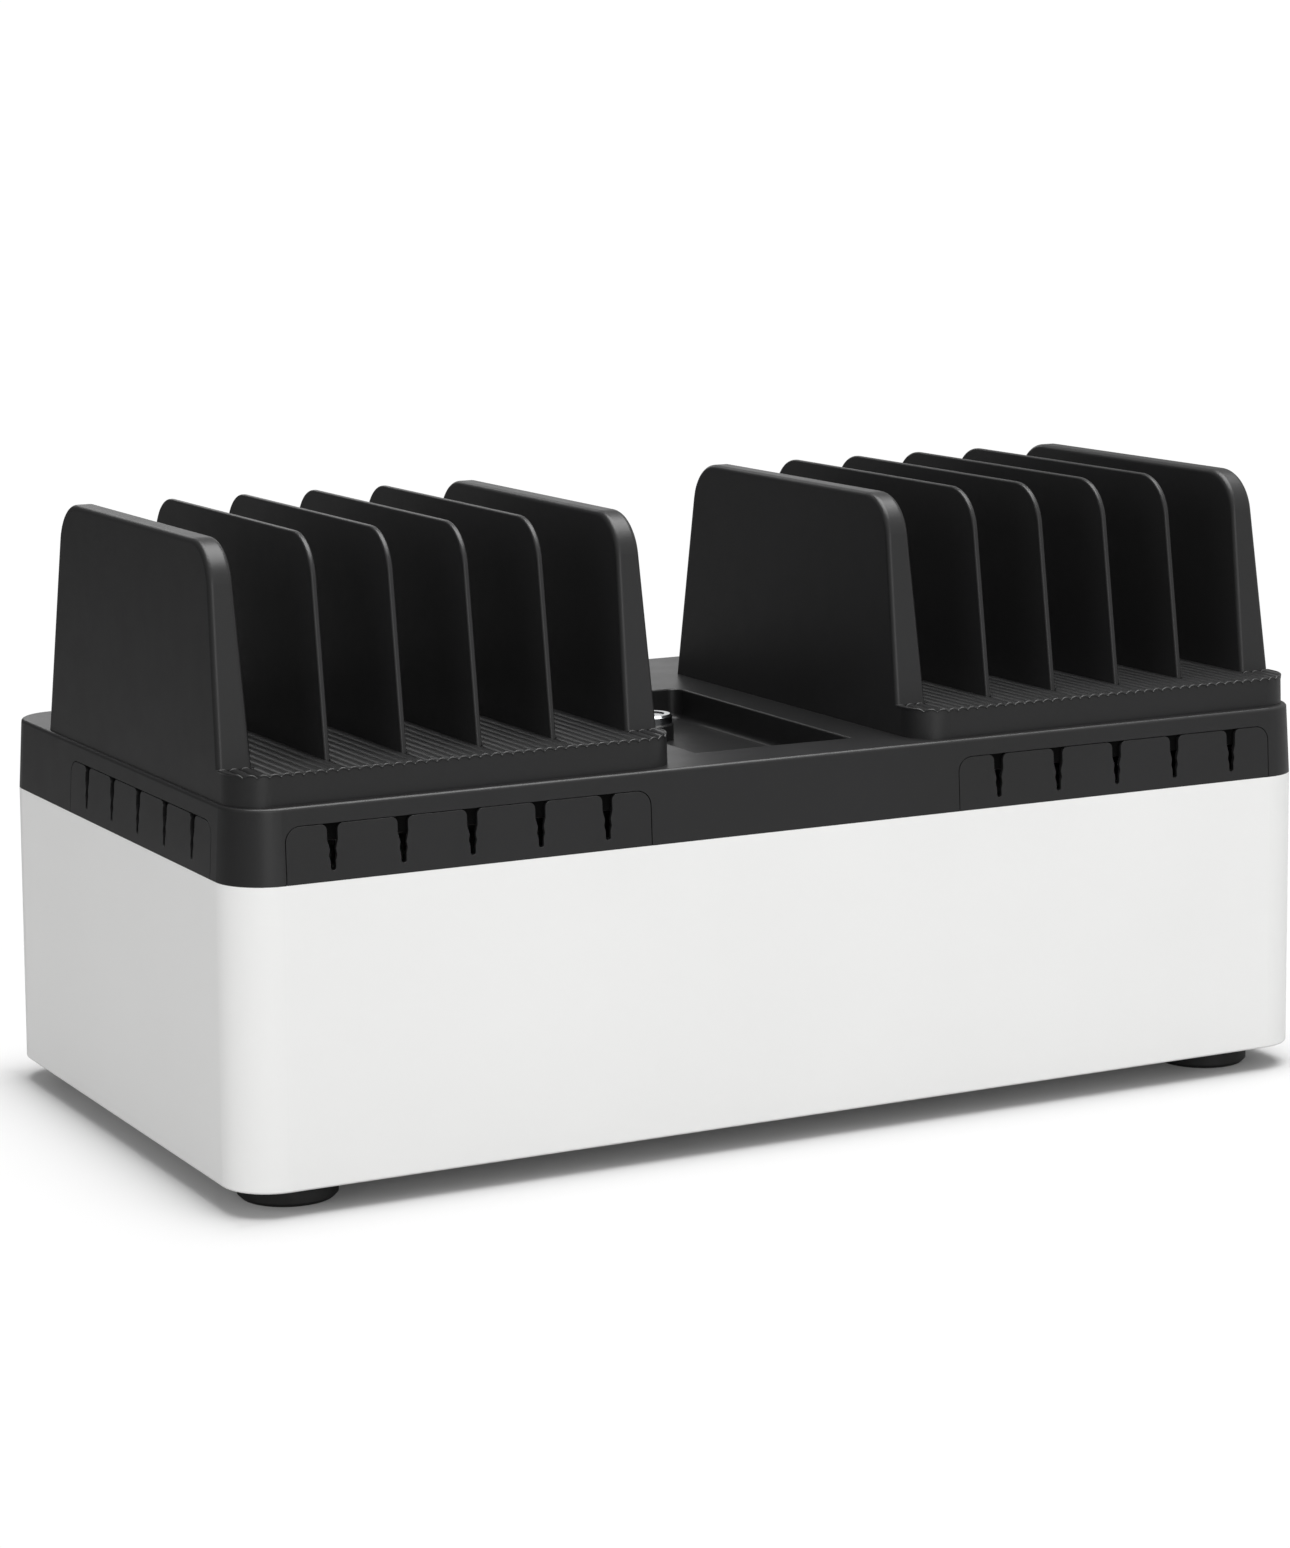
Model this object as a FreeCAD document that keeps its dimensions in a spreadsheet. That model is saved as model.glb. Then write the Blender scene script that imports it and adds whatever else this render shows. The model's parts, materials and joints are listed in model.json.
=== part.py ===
"""Charging station organizer: a white cable tub on round feet, a black lift-off lid with two device
racks, slotted cable combs in the rim, a key lock in a central well and two outlet strips inside.

Millimetres. X runs along the front, the front faces -Y, Z is up, and the feet stand on Z = 0.
The origin is the middle of the footprint.
"""
import FreeCAD
import Part
import Sketcher
import math
import os
from types import SimpleNamespace

SIZES = {
    # Tub
    "tub_length": 500.0,
    "tub_depth": 264.0,
    "tub_height": 119.6,
    "tub_wall": 4.0,
    "tub_floor": 3.5,
    "corner_radius": 20.0,
    "tub_bottom_round": 1.0,
    "lip_height": 3.0,
    # Feet
    "foot_radius": 20.0,
    "foot_height": 10.1,
    "foot_inset": 32.3,
    "foot_edge": 1.5,
    "foot_recess_radius": 6.0,
    "foot_recess_depth": 5.0,
    "foot_boss_radius": 6.0,
    "foot_boss_height": 10.0,
    # Lid
    "lid_height": 29.8,
    "lid_wall": 2.2,
    "lid_roof": 3.0,
    "lid_draft": 3.0,
    "lid_top_round": 1.5,
    "lid_gap": 0.6,
    # Well in the lid
    "well_half_width": 36.3,
    "well_back": 46.0,
    "well_ramp_start": -37.0,
    "well_front": -105.0,
    "well_floor_depth": 13.6,
    "well_wall": 2.6,
    "well_corner": 5.0,
    "well_edge_round": 0.8,
    "well_floor_round": 2.5,
    # Cable combs
    "comb_width": 156.6,
    "comb_height": 22.1,
    "comb_corner": 6.0,
    "comb_thickness": 1.7,
    "comb_gap": 0.35,
    "front_comb_x": 99.5,
    "end_comb_y": -27.5,
    "comb_web_height": 4.0,
    "tongue_thickness": 2.5,
    "tongue_drop": 16.0,
    "tongue_gap": 0.1,
    "comb_screw_reach": 60.0,
    "comb_screw_drop": 9.0,
    "cable_slot_pitch": 29.5,
    "cable_slot_foot": 4.1,
    "cable_mouth_width": 4.4,
    "cable_mouth_depth": 6.3,
    "cable_neck_width": 2.5,
    "cable_neck_depth": 9.8,
    "cable_hold_width": 3.4,
    "cable_hold_depth": 12.3,
    "cable_seat_width": 2.2,
    "cable_seat_depth": 14.3,
    "cable_shoulder": 2.5,
    "retainer_offset": 3.25,
    "retainer_thickness": 2.2,
    "retainer_foot": 15.4,
    # Device racks
    "rack_center": 98.6,
    "rack_half_width": 95.5,
    "rack_draft": 1.62,
    "plinth_front": -126.3,
    "plinth_height": 12.4,
    "plinth_corner": 15.0,
    "plinth_roof": 3.4,
    "plinth_wall": 2.6,
    "groove_pitch": 4.65,
    "groove_width": 4.25,
    "groove_depth": 1.2,
    "plate_height": 86.3,
    "plate_foot": 15.2,
    "plate_front_foot": -107.6,
    "plate_front_top": -94.9,
    "plate_back_top": 69.0,
    "plate_back_foot": 84.0,
    "plate_corner": 19.0,
    "plate_edge_round": 2.2,
    "plate_skin": 2.6,
    "divider_pitch": 32.6,
    "divider_thickness": 2.5,
    "divider_inset": 1.4,
    "divider_edge_round": 0.9,
    "divider_seat": 2.0,
    "divider_gap": 0.1,
    "rack_boss_radius": 4.2,
    "rack_boss_reach_x": 66.0,
    "rack_boss_front": -100.0,
    "rack_boss_back": 58.0,
    # Key lock
    "lock_y": 4.0,
    "lock_head_radius": 9.4,
    "lock_head_height": 4.0,
    "lock_skirt_radius": 10.0,
    "lock_skirt_height": 7.3,
    "lock_body_radius": 8.5,
    "lock_body_gap": 0.15,
    "lock_body_drop": 16.0,
    "lock_nut_width": 24.0,
    "lock_nut_height": 4.0,
    "plug_radius": 6.0,
    "plug_running_gap": 0.05,
    "plug_sink": 0.5,
    "key_slot_length": 7.5,
    "key_slot_width": 1.4,
    "key_slot_depth": 14.0,
    "cam_length": 30.0,
    "cam_width": 10.0,
    "cam_thickness": 2.5,
    "cam_square": 4.4,
    "cam_fit_gap": 0.1,
    "cam_keeper_gap": 1.0,
    # Lock post and keeper
    "post_width": 46.0,
    "post_wall": 3.0,
    "post_corner": 8.0,
    "keeper_thickness": 2.0,
    "keeper_barrel_gap": 3.0,
    "keeper_slot_length": 34.0,
    "keeper_slot_width": 13.0,
    # Outlet strips
    "strip_length": 380.0,
    "strip_width": 52.0,
    "strip_base_height": 14.0,
    "strip_cover_height": 24.0,
    "strip_wall": 2.2,
    "strip_round": 3.0,
    "strip_center_x": 267.0,
    "front_strip_y": 52.0,
    "rear_strip_y": 70.0,
    "strip_column_radius": 3.6,
    "strip_column_reach": 16.0,
    "rib_height": 8.0,
    "rib_thickness": 2.4,
    "outlet_pitch": 74.0,
    "outlet_face_radius": 17.0,
    "outlet_face_height": 1.0,
    "blade_spacing": 12.7,
    "blade_slot_length": 8.0,
    "blade_slot_width": 2.4,
    "blade_shift": 4.0,
    "ground_shift": 8.0,
    "ground_radius": 2.6,
    "bar_width": 4.0,
    "bar_thickness": 1.2,
    "bar_end_gap": 6.0,
    "tab_height": 13.0,
    "tab_length": 9.0,
    # Rear panel and terminal cover
    "recess_left": 170.0,
    "recess_right": 46.0,
    "recess_bottom": 52.0,
    "recess_top": 98.0,
    "recess_depth": 6.0,
    "panel_thickness": 4.0,
    "panel_margin": 4.0,
    "inlet_x": 80.0,
    "inlet_width": 27.0,
    "inlet_height": 20.0,
    "inlet_gap": 0.2,
    "inlet_flange_width": 50.0,
    "inlet_flange_height": 24.0,
    "inlet_flange_thickness": 2.5,
    "inlet_body_depth": 16.0,
    "inlet_cavity_width": 23.0,
    "inlet_cavity_height": 15.6,
    "inlet_cavity_depth": 16.0,
    "inlet_screw_reach": 20.0,
    "pin_width": 4.0,
    "pin_thickness": 2.0,
    "pin_length": 22.0,
    "pin_spacing": 7.0,
    "pin_rise": 2.0,
    "switch_x": 122.0,
    "switch_bezel_width": 25.0,
    "switch_bezel_height": 18.0,
    "switch_bezel_thickness": 1.8,
    "switch_body_width": 21.0,
    "switch_body_height": 14.0,
    "switch_body_depth": 14.0,
    "rocker_width": 16.6,
    "rocker_height": 10.6,
    "rocker_gap": 0.6,
    "rocker_swing": 1.2,
    "rocker_tilt": 10.0,
    "rocker_crest": 3.2,
    "rocker_dish": 1.0,
    "rocker_pin_radius": 1.5,
    "rocker_pin_gap": 0.05,
    "rocker_pin_length": 0.7,
    "breaker_x": 154.0,
    "breaker_flange_radius": 8.5,
    "breaker_flange_thickness": 2.0,
    "breaker_neck_radius": 6.0,
    "breaker_body_radius": 8.5,
    "breaker_body_depth": 16.0,
    "button_radius": 3.8,
    "button_gap": 0.4,
    "button_stand": 5.0,
    "button_travel": 2.5,
    "button_shoulder": 1.0,
    "button_stem": 9.0,
    "terminal_front": 40.0,
    "terminal_wall": 2.2,
    "terminal_lug": 9.0,
    "lead_radius": 3.25,
    "lead_gap": 0.25,
    "rear_lead_x": 60.0,
    "front_lead_x": 50.0,
    "lead_end": 8.0,
    # Ventilation
    "vent_width": 3.0,
    "vent_height": 26.0,
    "vent_pitch": 8.0,
    "vent_center_x": 100.0,
    # Screws
    "screw_shank": 1.5,
    "screw_head_radius": 2.9,
    "screw_head_height": 1.8,
    "screw_clearance": 0.2,
    "pilot_gap": 0.03,
    "screw_bite": 8.0,
    "short_screw_bite": 3.0,
    "foot_screw_shank": 2.0,
    "foot_screw_head_radius": 4.0,
    "foot_screw_head_height": 2.4,
    "counterbore_depth": 2.2,
    "counterbore_gap": 0.4,
    "screw_recess": 1.0,
    "screw_slot_width": 0.8,
}

CABLE_SLOTS = 5
DIVIDERS = 4
OUTLETS = 5
VENTS = 13
FULL_TURN = 360
TOUCH = 0.001
# How far a cutting outline reaches past the face that it opens
OVERCUT = 1
# Width across flats times this gives a hexagon's corners
HEXAGON_REACH = 0.57735
# A little over two, so that the two rounds at a slot's foot don't run into each other
SEAT_ROUNDS = 2.1
# Edges shorter than this are corners of a plate and not its outline
OUTLINE_EDGE = 10


class Size:
    """A length with its value and the sheet expression that gives it."""

    def __init__(self, value, text):
        self.value = value
        self.text = text

    def __add__(self, other):
        other = as_size(other)
        return Size(self.value + other.value, f"({self.text} + {other.text})")

    def __sub__(self, other):
        other = as_size(other)
        return Size(self.value - other.value, f"({self.text} - {other.text})")

    def __mul__(self, other):
        other = as_size(other)
        return Size(self.value * other.value, f"({self.text} * {other.text})")

    def __truediv__(self, other):
        other = as_size(other)
        return Size(self.value / other.value, f"({self.text} / {other.text})")

    def __radd__(self, other):
        return as_size(other) + self

    def __rsub__(self, other):
        return as_size(other) - self

    def __rmul__(self, other):
        return as_size(other) * self

    def __neg__(self):
        return as_size(0) - self


def as_size(amount):
    """A plain number becomes a Size with a constant expression."""
    if isinstance(amount, Size):
        return amount
    return Size(float(amount), f"({float(amount)})")


def fill_sheet():
    """Puts every driving dimension in its own named cell."""
    sheet = doc.addObject("Spreadsheet::Sheet", "Sizes")
    for row, (name, value) in enumerate(SIZES.items(), start=1):
        sheet.set(f"A{row}", name)
        sheet.set(f"B{row}", str(value))
        sheet.setAlias(f"B{row}", name)
    doc.recompute()
    return SimpleNamespace(**{name: Size(value, f"Sizes.{name}") for name, value in SIZES.items()})


def vector(x, y, z):
    return FreeCAD.Vector(as_size(x).value, as_size(y).value, as_size(z).value)


def lean(height, draft):
    """How far a drafted face moves sideways over a height."""
    return height * Size(math.tan(math.radians(draft.value)), f"tan({draft.text} * 1 deg)")


def bind(thing, setting, amount):
    thing.setExpression(setting, as_size(amount).text)


def place(thing, x, y, z):
    bind(thing, "Placement.Base.x", x)
    bind(thing, "Placement.Base.y", y)
    bind(thing, "Placement.Base.z", z)


def turn(thing, axis, degrees):
    """Sets a turn in quarter turns or fixed angles; the place is bound apart from it."""
    thing.Placement = FreeCAD.Placement(thing.Placement.Base, FreeCAD.Rotation(axis, degrees))


# Bodies made of sketches and features


def start_body(label):
    body = doc.addObject("PartDesign::Body", label)
    body.Label = label
    return body


def start_sketch(body, role, offset):
    """A sketch on one of the body's own origin planes, moved along the plane's normal."""
    sketch = body.newObject("Sketcher::SketchObject", f"{body.Label}_sketch")
    support = next(plane for plane in body.Origin.OriginFeatures if plane.Role == role)
    sketch.AttachmentSupport = [(support, "")]
    sketch.MapMode = "FlatFace"
    bind(sketch, "AttachmentOffset.Base.z", offset)
    return sketch


def flat_sketch(body, height):
    """Looks down on the XY plane at a height."""
    return start_sketch(body, "XY_Plane", height)


def front_sketch(body, y):
    """Looks along Y at a depth; its own axes are X and Z."""
    return start_sketch(body, "XZ_Plane", -as_size(y))


def side_sketch(body, x):
    """Looks along X; its own axes are Y and Z."""
    return start_sketch(body, "YZ_Plane", x)


def hold(sketch, wanted):
    """Adds pairs of a constraint and its size, or None, and binds the sizes."""
    indexes = sketch.addConstraint([constraint for constraint, amount in wanted])
    for index, (constraint, amount) in zip(indexes, wanted):
        if amount is not None:
            bind(sketch, f"Constraints[{index}]", amount)


def join(edge, other):
    """The end of one edge is the start of another."""
    return Sketcher.Constraint("Coincident", edge, 2, other, 1), None


def at_point(edge, end, x, y):
    """The two distances that hold an edge's end, or a circle's centre."""
    sizes = (("DistanceX", as_size(x)), ("DistanceY", as_size(y)))
    return [(Sketcher.Constraint(kind, edge, end, amount.value), amount) for kind, amount in sizes]


def with_radius(edge, radius):
    return Sketcher.Constraint("Radius", edge, radius.value), radius


def line(start, end):
    return Part.LineSegment(vector(*start, 0), vector(*end, 0))


def arc(center, radius, from_angle, to_angle):
    circle = Part.Circle(vector(*center, 0), vector(0, 0, 1), radius.value)
    return Part.ArcOfCircle(circle, from_angle, to_angle)


def add_outline(sketch, corners):
    """A closed polygon whose corners are held by their two distances from the sketch's origin."""
    first = sketch.GeometryCount
    count = len(corners)
    following = corners[1:] + corners[:1]
    sketch.addGeometry([line(start, end) for start, end in zip(corners, following)], False)
    wanted = [join(first + index, first + (index + 1) % count) for index in range(count)]
    for index, (x, y) in enumerate(corners):
        wanted += at_point(first + index, 1, x, y)
    hold(sketch, wanted)


def add_rectangle(sketch, left, right, low, high):
    add_outline(sketch, [(left, low), (right, low), (right, high), (left, high)])


def add_rounded_rectangle(sketch, half_width, half_height, radius):
    """A rectangle about the sketch's origin with one arc at each corner."""
    flat_x = half_width - radius
    flat_y = half_height - radius
    sides = [
        ((-flat_x, -half_height), (flat_x, -half_height)),
        ((half_width, -flat_y), (half_width, flat_y)),
        ((flat_x, half_height), (-flat_x, half_height)),
        ((-half_width, flat_y), (-half_width, -flat_y)),
    ]
    centers = [(flat_x, -flat_y), (flat_x, flat_y), (-flat_x, flat_y), (-flat_x, -flat_y)]
    quarter = math.pi / 2
    sketch.addGeometry([line(start, end) for start, end in sides], False)
    bends = [arc(center, radius, (turn - 1) * quarter, turn * quarter) for turn, center in enumerate(centers)]
    sketch.addGeometry(bends, False)
    count = len(sides)
    wanted = []
    for index, (start, end) in enumerate(sides):
        bend = count + index
        wanted += [join(index, bend), join(bend, (index + 1) % count), with_radius(bend, radius)]
        wanted += at_point(index, 1, *start) + at_point(index, 2, *end)
    hold(sketch, wanted)


def add_circle(sketch, x, y, radius):
    edge = sketch.addGeometry(Part.Circle(vector(x, y, 0), vector(0, 0, 1), radius.value), False)
    hold(sketch, at_point(edge, 3, x, y) + [with_radius(edge, radius)])


def add_feature(body, kind, sketch, length, taper, middle, back):
    before = body.Shape.Volume if body.Tip else 0.0
    feature = body.newObject(f"PartDesign::{kind}", f"{body.Label}_{kind.lower()}")
    feature.Profile = sketch
    bind(feature, "Length", length)
    feature.Midplane = middle
    feature.Reversed = back
    if taper is not None:
        bind(feature, "TaperAngle", taper)
    doc.recompute()
    growth = 1 if kind == "Pad" else -1
    if growth * (body.Shape.Volume - before) <= 0:
        raise RuntimeError(f"{feature.Label} changes nothing")
    return feature


def pad(body, sketch, length, taper=None, middle=False, back=False):
    return add_feature(body, "Pad", sketch, length, taper, middle, back)


def pocket(body, sketch, length, taper=None, middle=False, back=False):
    return add_feature(body, "Pocket", sketch, length, taper, middle, back)


def revolve(body, corners):
    """A turned solid from half its section, given as radius and height."""
    sketch = front_sketch(body, 0)
    add_outline(sketch, corners)
    feature = body.newObject("PartDesign::Revolution", f"{body.Label}_turned")
    feature.Profile = sketch
    feature.ReferenceAxis = (sketch, ["V_Axis"])
    feature.Angle = FULL_TURN
    doc.recompute()
    return feature


def round_edges(body, radius, chosen):
    """Rounds the edges of the body so far that the test chooses."""
    edges = body.Tip.Shape.Edges
    names = [f"Edge{index}" for index, edge in enumerate(edges, start=1) if chosen(edge)]
    if not names:
        raise RuntimeError(f"{body.Label} has no edge to round")
    base = body.Tip
    feature = body.newObject("PartDesign::Fillet", f"{body.Label}_round")
    feature.Base = (base, names)
    bind(feature, "Radius", radius)
    doc.recompute()
    if "Invalid" in feature.State:
        raise RuntimeError(f"{feature.Label} can't be rounded")
    return feature


def repeat_along_x(body, feature, sketch, pitch, count):
    """A row of the same feature, one pitch apart."""
    row = body.newObject("PartDesign::LinearPattern", f"{body.Label}_row")
    row.Originals = [feature]
    row.Direction = (sketch, ["H_Axis"])
    bind(row, "Length", pitch * (count - 1))
    row.Occurrences = count
    body.Tip = row
    doc.recompute()
    return row


def direction(edge):
    return edge.tangentAt(edge.FirstParameter)


def middle_of(edge):
    return edge.valueAt((edge.FirstParameter + edge.LastParameter) / 2)


def near(value, size):
    return abs(value - as_size(size).value) < TOUCH


def is_upright(edge):
    return abs(direction(edge).z) > 0.9


def runs_along_x(edge):
    return abs(direction(edge).x) > 1 - TOUCH


def runs_along_y(edge):
    return abs(direction(edge).y) > 1 - TOUCH


def at_height(edge, height):
    return near(edge.BoundBox.ZMin, height) and near(edge.BoundBox.ZMax, height)


# Bodies made of simple solids


def add_box(name, left, right, front, back, low, high):
    box = doc.addObject("Part::Box", name)
    bind(box, "Length", as_size(right) - left)
    bind(box, "Width", as_size(back) - front)
    bind(box, "Height", as_size(high) - low)
    place(box, left, front, low)
    return box


def add_cylinder(name, x, y, low, radius, height):
    cylinder = doc.addObject("Part::Cylinder", name)
    bind(cylinder, "Radius", radius)
    bind(cylinder, "Height", height)
    place(cylinder, x, y, low)
    return cylinder


def add_cut(name, base, tools):
    joined = tools[0]
    if len(tools) > 1:
        joined = doc.addObject("Part::MultiFuse", f"{name}_tools")
        joined.Shapes = tools
    cut = doc.addObject("Part::Cut", name)
    cut.Base = base
    cut.Tool = joined
    cut.Label = name
    return cut


def add_group(name, master, spots, axis=None, degrees=0):
    """Copies of one fastener, kept as separate solids in one node."""
    copies = []
    for x, y, z in spots:
        copy = doc.addObject("App::Link", f"{name}_copy")
        copy.LinkedObject = master
        if axis is not None:
            copy.Placement = FreeCAD.Placement(FreeCAD.Vector(), FreeCAD.Rotation(axis, degrees))
        place(copy, x, y, z)
        copies.append(copy)
    group = doc.addObject("Part::Compound", name)
    group.Links = copies
    group.Label = name
    return group


doc = FreeCAD.newDocument("charging_station")
d = fill_sheet()
nodes = []

X_AXIS = FreeCAD.Vector(1, 0, 0)
Z_AXIS = FreeCAD.Vector(0, 0, 1)

half_length = d.tub_length / 2
half_depth = d.tub_depth / 2
inner_half_length = half_length - d.tub_wall
inner_half_depth = half_depth - d.tub_wall
tub_bottom_z = d.foot_height
floor_z = tub_bottom_z + d.tub_floor
seam_z = tub_bottom_z + d.tub_height
lid_top_z = seam_z + d.lid_height
plinth_top_z = lid_top_z + d.plinth_height
plate_top_z = plinth_top_z + d.plate_height
foot_x = half_length - d.foot_inset
foot_y = half_depth - d.foot_inset
foot_spots = [(side_x * foot_x, side_y * foot_y) for side_y in (-1, 1) for side_x in (-1, 1)]

well_floor_z = lid_top_z - d.well_floor_depth
well_under_z = well_floor_z - d.lid_roof
barrel_foot_z = well_under_z - d.lock_body_drop
keeper_top_z = barrel_foot_z - d.keeper_barrel_gap
post_top_z = keeper_top_z - d.keeper_thickness
cam_top_z = post_top_z - d.cam_keeper_gap
cam_foot_z = cam_top_z - d.cam_thickness

# Places that are measured in from the tub's ends, its back or its front
comb_middle_x = half_length - d.front_comb_x
rack_middle_x = half_length - d.rack_center
strip_middle_x = half_length - d.strip_center_x
recess_left_x = half_length - d.recess_left
recess_right_x = half_length - d.recess_right
inlet_middle_x = half_length - d.inlet_x
switch_middle_x = half_length - d.switch_x
breaker_middle_x = half_length - d.breaker_x
rear_gland_x = half_length - d.rear_lead_x
front_gland_x = half_length - d.front_lead_x
vent_middle_x = d.vent_center_x - half_length
front_strip_middle_y = d.front_strip_y - half_depth
rear_strip_middle_y = half_depth - d.rear_strip_y
terminal_front_y = half_depth - d.terminal_front

panel_face_y = half_depth - d.recess_depth
panel_back_y = panel_face_y - d.panel_thickness
panel_middle_z = (d.recess_bottom + d.recess_top) / 2
block_left = recess_left_x - d.panel_margin
block_right = recess_right_x + d.panel_margin
block_top = d.recess_top + d.panel_margin

strip_left = strip_middle_x - d.strip_length / 2
strip_right = strip_middle_x + d.strip_length / 2
strip_split_z = floor_z + d.strip_base_height
strip_top_z = strip_split_z + d.strip_cover_height
bar_z = floor_z + d.strip_wall + d.rib_height
lead_z = floor_z + d.strip_base_height / 2
outlet_xs = [strip_middle_x + (index - (OUTLETS - 1) / 2) * d.outlet_pitch for index in range(OUTLETS)]
column_xs = [strip_middle_x + share * d.outlet_pitch for share in (-1.5, 0.5, 1.5)]
strip_columns = [
    (x, y + side * d.strip_column_reach)
    for y in (front_strip_middle_y, rear_strip_middle_y)
    for x, side in zip(column_xs, (-1, 1, -1))
]

post_reach = d.post_width / 2 - d.post_wall - d.post_corner / 2
post_screw_spots = [
    (side_x * post_reach, d.lock_y + side_y * post_reach) for side_y in (-1, 1) for side_x in (-1, 1)
]
screw_hole = d.screw_shank + d.screw_clearance
screw_pilot = d.screw_shank + d.pilot_gap
foot_screw_hole = d.foot_screw_shank + d.screw_clearance

comb_places = {
    "comb_front_left": (-comb_middle_x, -half_depth, 0),
    "comb_front_right": (comb_middle_x, -half_depth, 0),
    "comb_left_end": (-half_length, d.end_comb_y, -90),
    "comb_right_end": (half_length, d.end_comb_y, 90),
}
comb_half = d.comb_width / 2
comb_opening = comb_half + d.comb_gap
rack_places = {"left": -rack_middle_x, "right": rack_middle_x}
rack_bosses = [
    (side * d.rack_boss_reach_x, y) for side in (-1, 1) for y in (d.rack_boss_front, d.rack_boss_back)
]


# Tub and feet


def make_tub():
    body = start_body("base_tub")
    block = flat_sketch(body, tub_bottom_z)
    add_rounded_rectangle(block, half_length, half_depth, d.corner_radius)
    pad(body, block, d.tub_height)
    round_edges(body, d.tub_bottom_round, lambda edge: at_height(edge, tub_bottom_z))

    lip_inset = d.lid_wall + d.lid_gap
    lip = flat_sketch(body, seam_z)
    add_rounded_rectangle(lip, half_length - lip_inset, half_depth - lip_inset, d.corner_radius - lip_inset)
    pad(body, lip, d.lip_height)

    room = flat_sketch(body, seam_z + d.lip_height)
    add_rounded_rectangle(room, inner_half_length, inner_half_depth, d.corner_radius - d.tub_wall)
    pocket(body, room, d.tub_height + d.lip_height - d.tub_floor)

    notches = flat_sketch(body, seam_z + d.lip_height)
    for x in (-comb_middle_x, comb_middle_x):
        add_rectangle(notches, x - comb_opening, x + comb_opening, -half_depth, -inner_half_depth)
    low = d.end_comb_y - comb_opening
    high = d.end_comb_y + comb_opening
    add_rectangle(notches, -half_length, -inner_half_length, low, high)
    add_rectangle(notches, inner_half_length, half_length, low, high)
    pocket(body, notches, d.lip_height)

    bosses = flat_sketch(body, floor_z)
    for x, y in foot_spots:
        add_circle(bosses, x, y, d.foot_boss_radius)
    pad(body, bosses, d.foot_boss_height)

    panel = flat_sketch(body, floor_z)
    add_rectangle(panel, block_left, block_right, panel_back_y, inner_half_depth + d.tub_wall / 2)
    pad(body, panel, block_top - floor_z)

    recess = front_sketch(body, half_depth)
    add_rectangle(recess, recess_left_x, recess_right_x, d.recess_bottom, d.recess_top)
    pocket(body, recess, d.recess_depth, back=True)

    openings = front_sketch(body, panel_face_y)
    inlet_half_width = d.inlet_width / 2 + d.inlet_gap
    inlet_half_height = d.inlet_height / 2 + d.inlet_gap
    add_rectangle(
        openings,
        inlet_middle_x - inlet_half_width,
        inlet_middle_x + inlet_half_width,
        panel_middle_z - inlet_half_height,
        panel_middle_z + inlet_half_height,
    )
    switch_half_width = d.switch_body_width / 2 + d.inlet_gap
    switch_half_height = d.switch_body_height / 2 + d.inlet_gap
    add_rectangle(
        openings,
        switch_middle_x - switch_half_width,
        switch_middle_x + switch_half_width,
        panel_middle_z - switch_half_height,
        panel_middle_z + switch_half_height,
    )
    add_circle(openings, breaker_middle_x, panel_middle_z, d.breaker_neck_radius + d.inlet_gap)
    for side in (-1, 1):
        add_circle(openings, inlet_middle_x + side * d.inlet_screw_reach, panel_middle_z, screw_hole)
    pocket(body, openings, d.panel_thickness, back=True)

    vent = front_sketch(body, half_depth)
    vent_left = vent_middle_x - d.vent_pitch * (VENTS - 1) / 2 - d.vent_width / 2
    vent_low = panel_middle_z - d.vent_height / 2
    add_rectangle(vent, vent_left, vent_left + d.vent_width, vent_low, vent_low + d.vent_height)
    first_vent = pocket(body, vent, d.tub_wall, back=True)
    repeat_along_x(body, first_vent, vent, d.vent_pitch, VENTS)

    foot_pilots = flat_sketch(body, tub_bottom_z)
    for x, y in foot_spots:
        add_circle(foot_pilots, x, y, d.foot_screw_shank + d.pilot_gap)
    pocket(body, foot_pilots, d.tub_floor + d.foot_boss_height - d.tub_floor / 2, back=True)

    floor_holes = flat_sketch(body, tub_bottom_z)
    for x, y in strip_columns + post_screw_spots:
        add_circle(floor_holes, x, y, screw_hole)
    pocket(body, floor_holes, d.tub_floor, back=True)
    head_seats = flat_sketch(body, tub_bottom_z)
    for x, y in strip_columns + post_screw_spots:
        add_circle(head_seats, x, y, d.screw_head_radius + d.counterbore_gap)
    pocket(body, head_seats, d.counterbore_depth, back=True)

    make_wall_pilots(body)
    return body


def make_wall_pilots(body):
    """Blind holes in the walls for the comb screws and the terminal cover's screws."""
    comb_z = seam_z - d.comb_screw_drop
    front = front_sketch(body, -inner_half_depth)
    for x in (-comb_middle_x, comb_middle_x):
        for side in (-1, 1):
            add_circle(front, x + side * d.comb_screw_reach, comb_z, screw_pilot)
    pocket(body, front, d.short_screw_bite, back=True)
    for side_x in (-1, 1):
        end = side_sketch(body, side_x * inner_half_length)
        for side in (-1, 1):
            add_circle(end, d.end_comb_y + side * d.comb_screw_reach, comb_z, screw_pilot)
        pocket(body, end, d.short_screw_bite, back=side_x > 0)
    rear = front_sketch(body, panel_back_y)
    for x, z in terminal_screw_spots():
        add_circle(rear, x, z, screw_pilot)
    pocket(body, rear, d.short_screw_bite)


def make_foot(label, x, y):
    body = start_body(label)
    revolve(
        body,
        [
            (d.foot_recess_radius, 0),
            (d.foot_radius - d.foot_edge, 0),
            (d.foot_radius, d.foot_edge),
            (d.foot_radius, d.foot_height),
            (foot_screw_hole, d.foot_height),
            (foot_screw_hole, d.foot_recess_depth),
            (d.foot_recess_radius, d.foot_recess_depth),
        ],
    )
    place(body, x, y, 0)
    return body


# Cable combs


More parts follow.
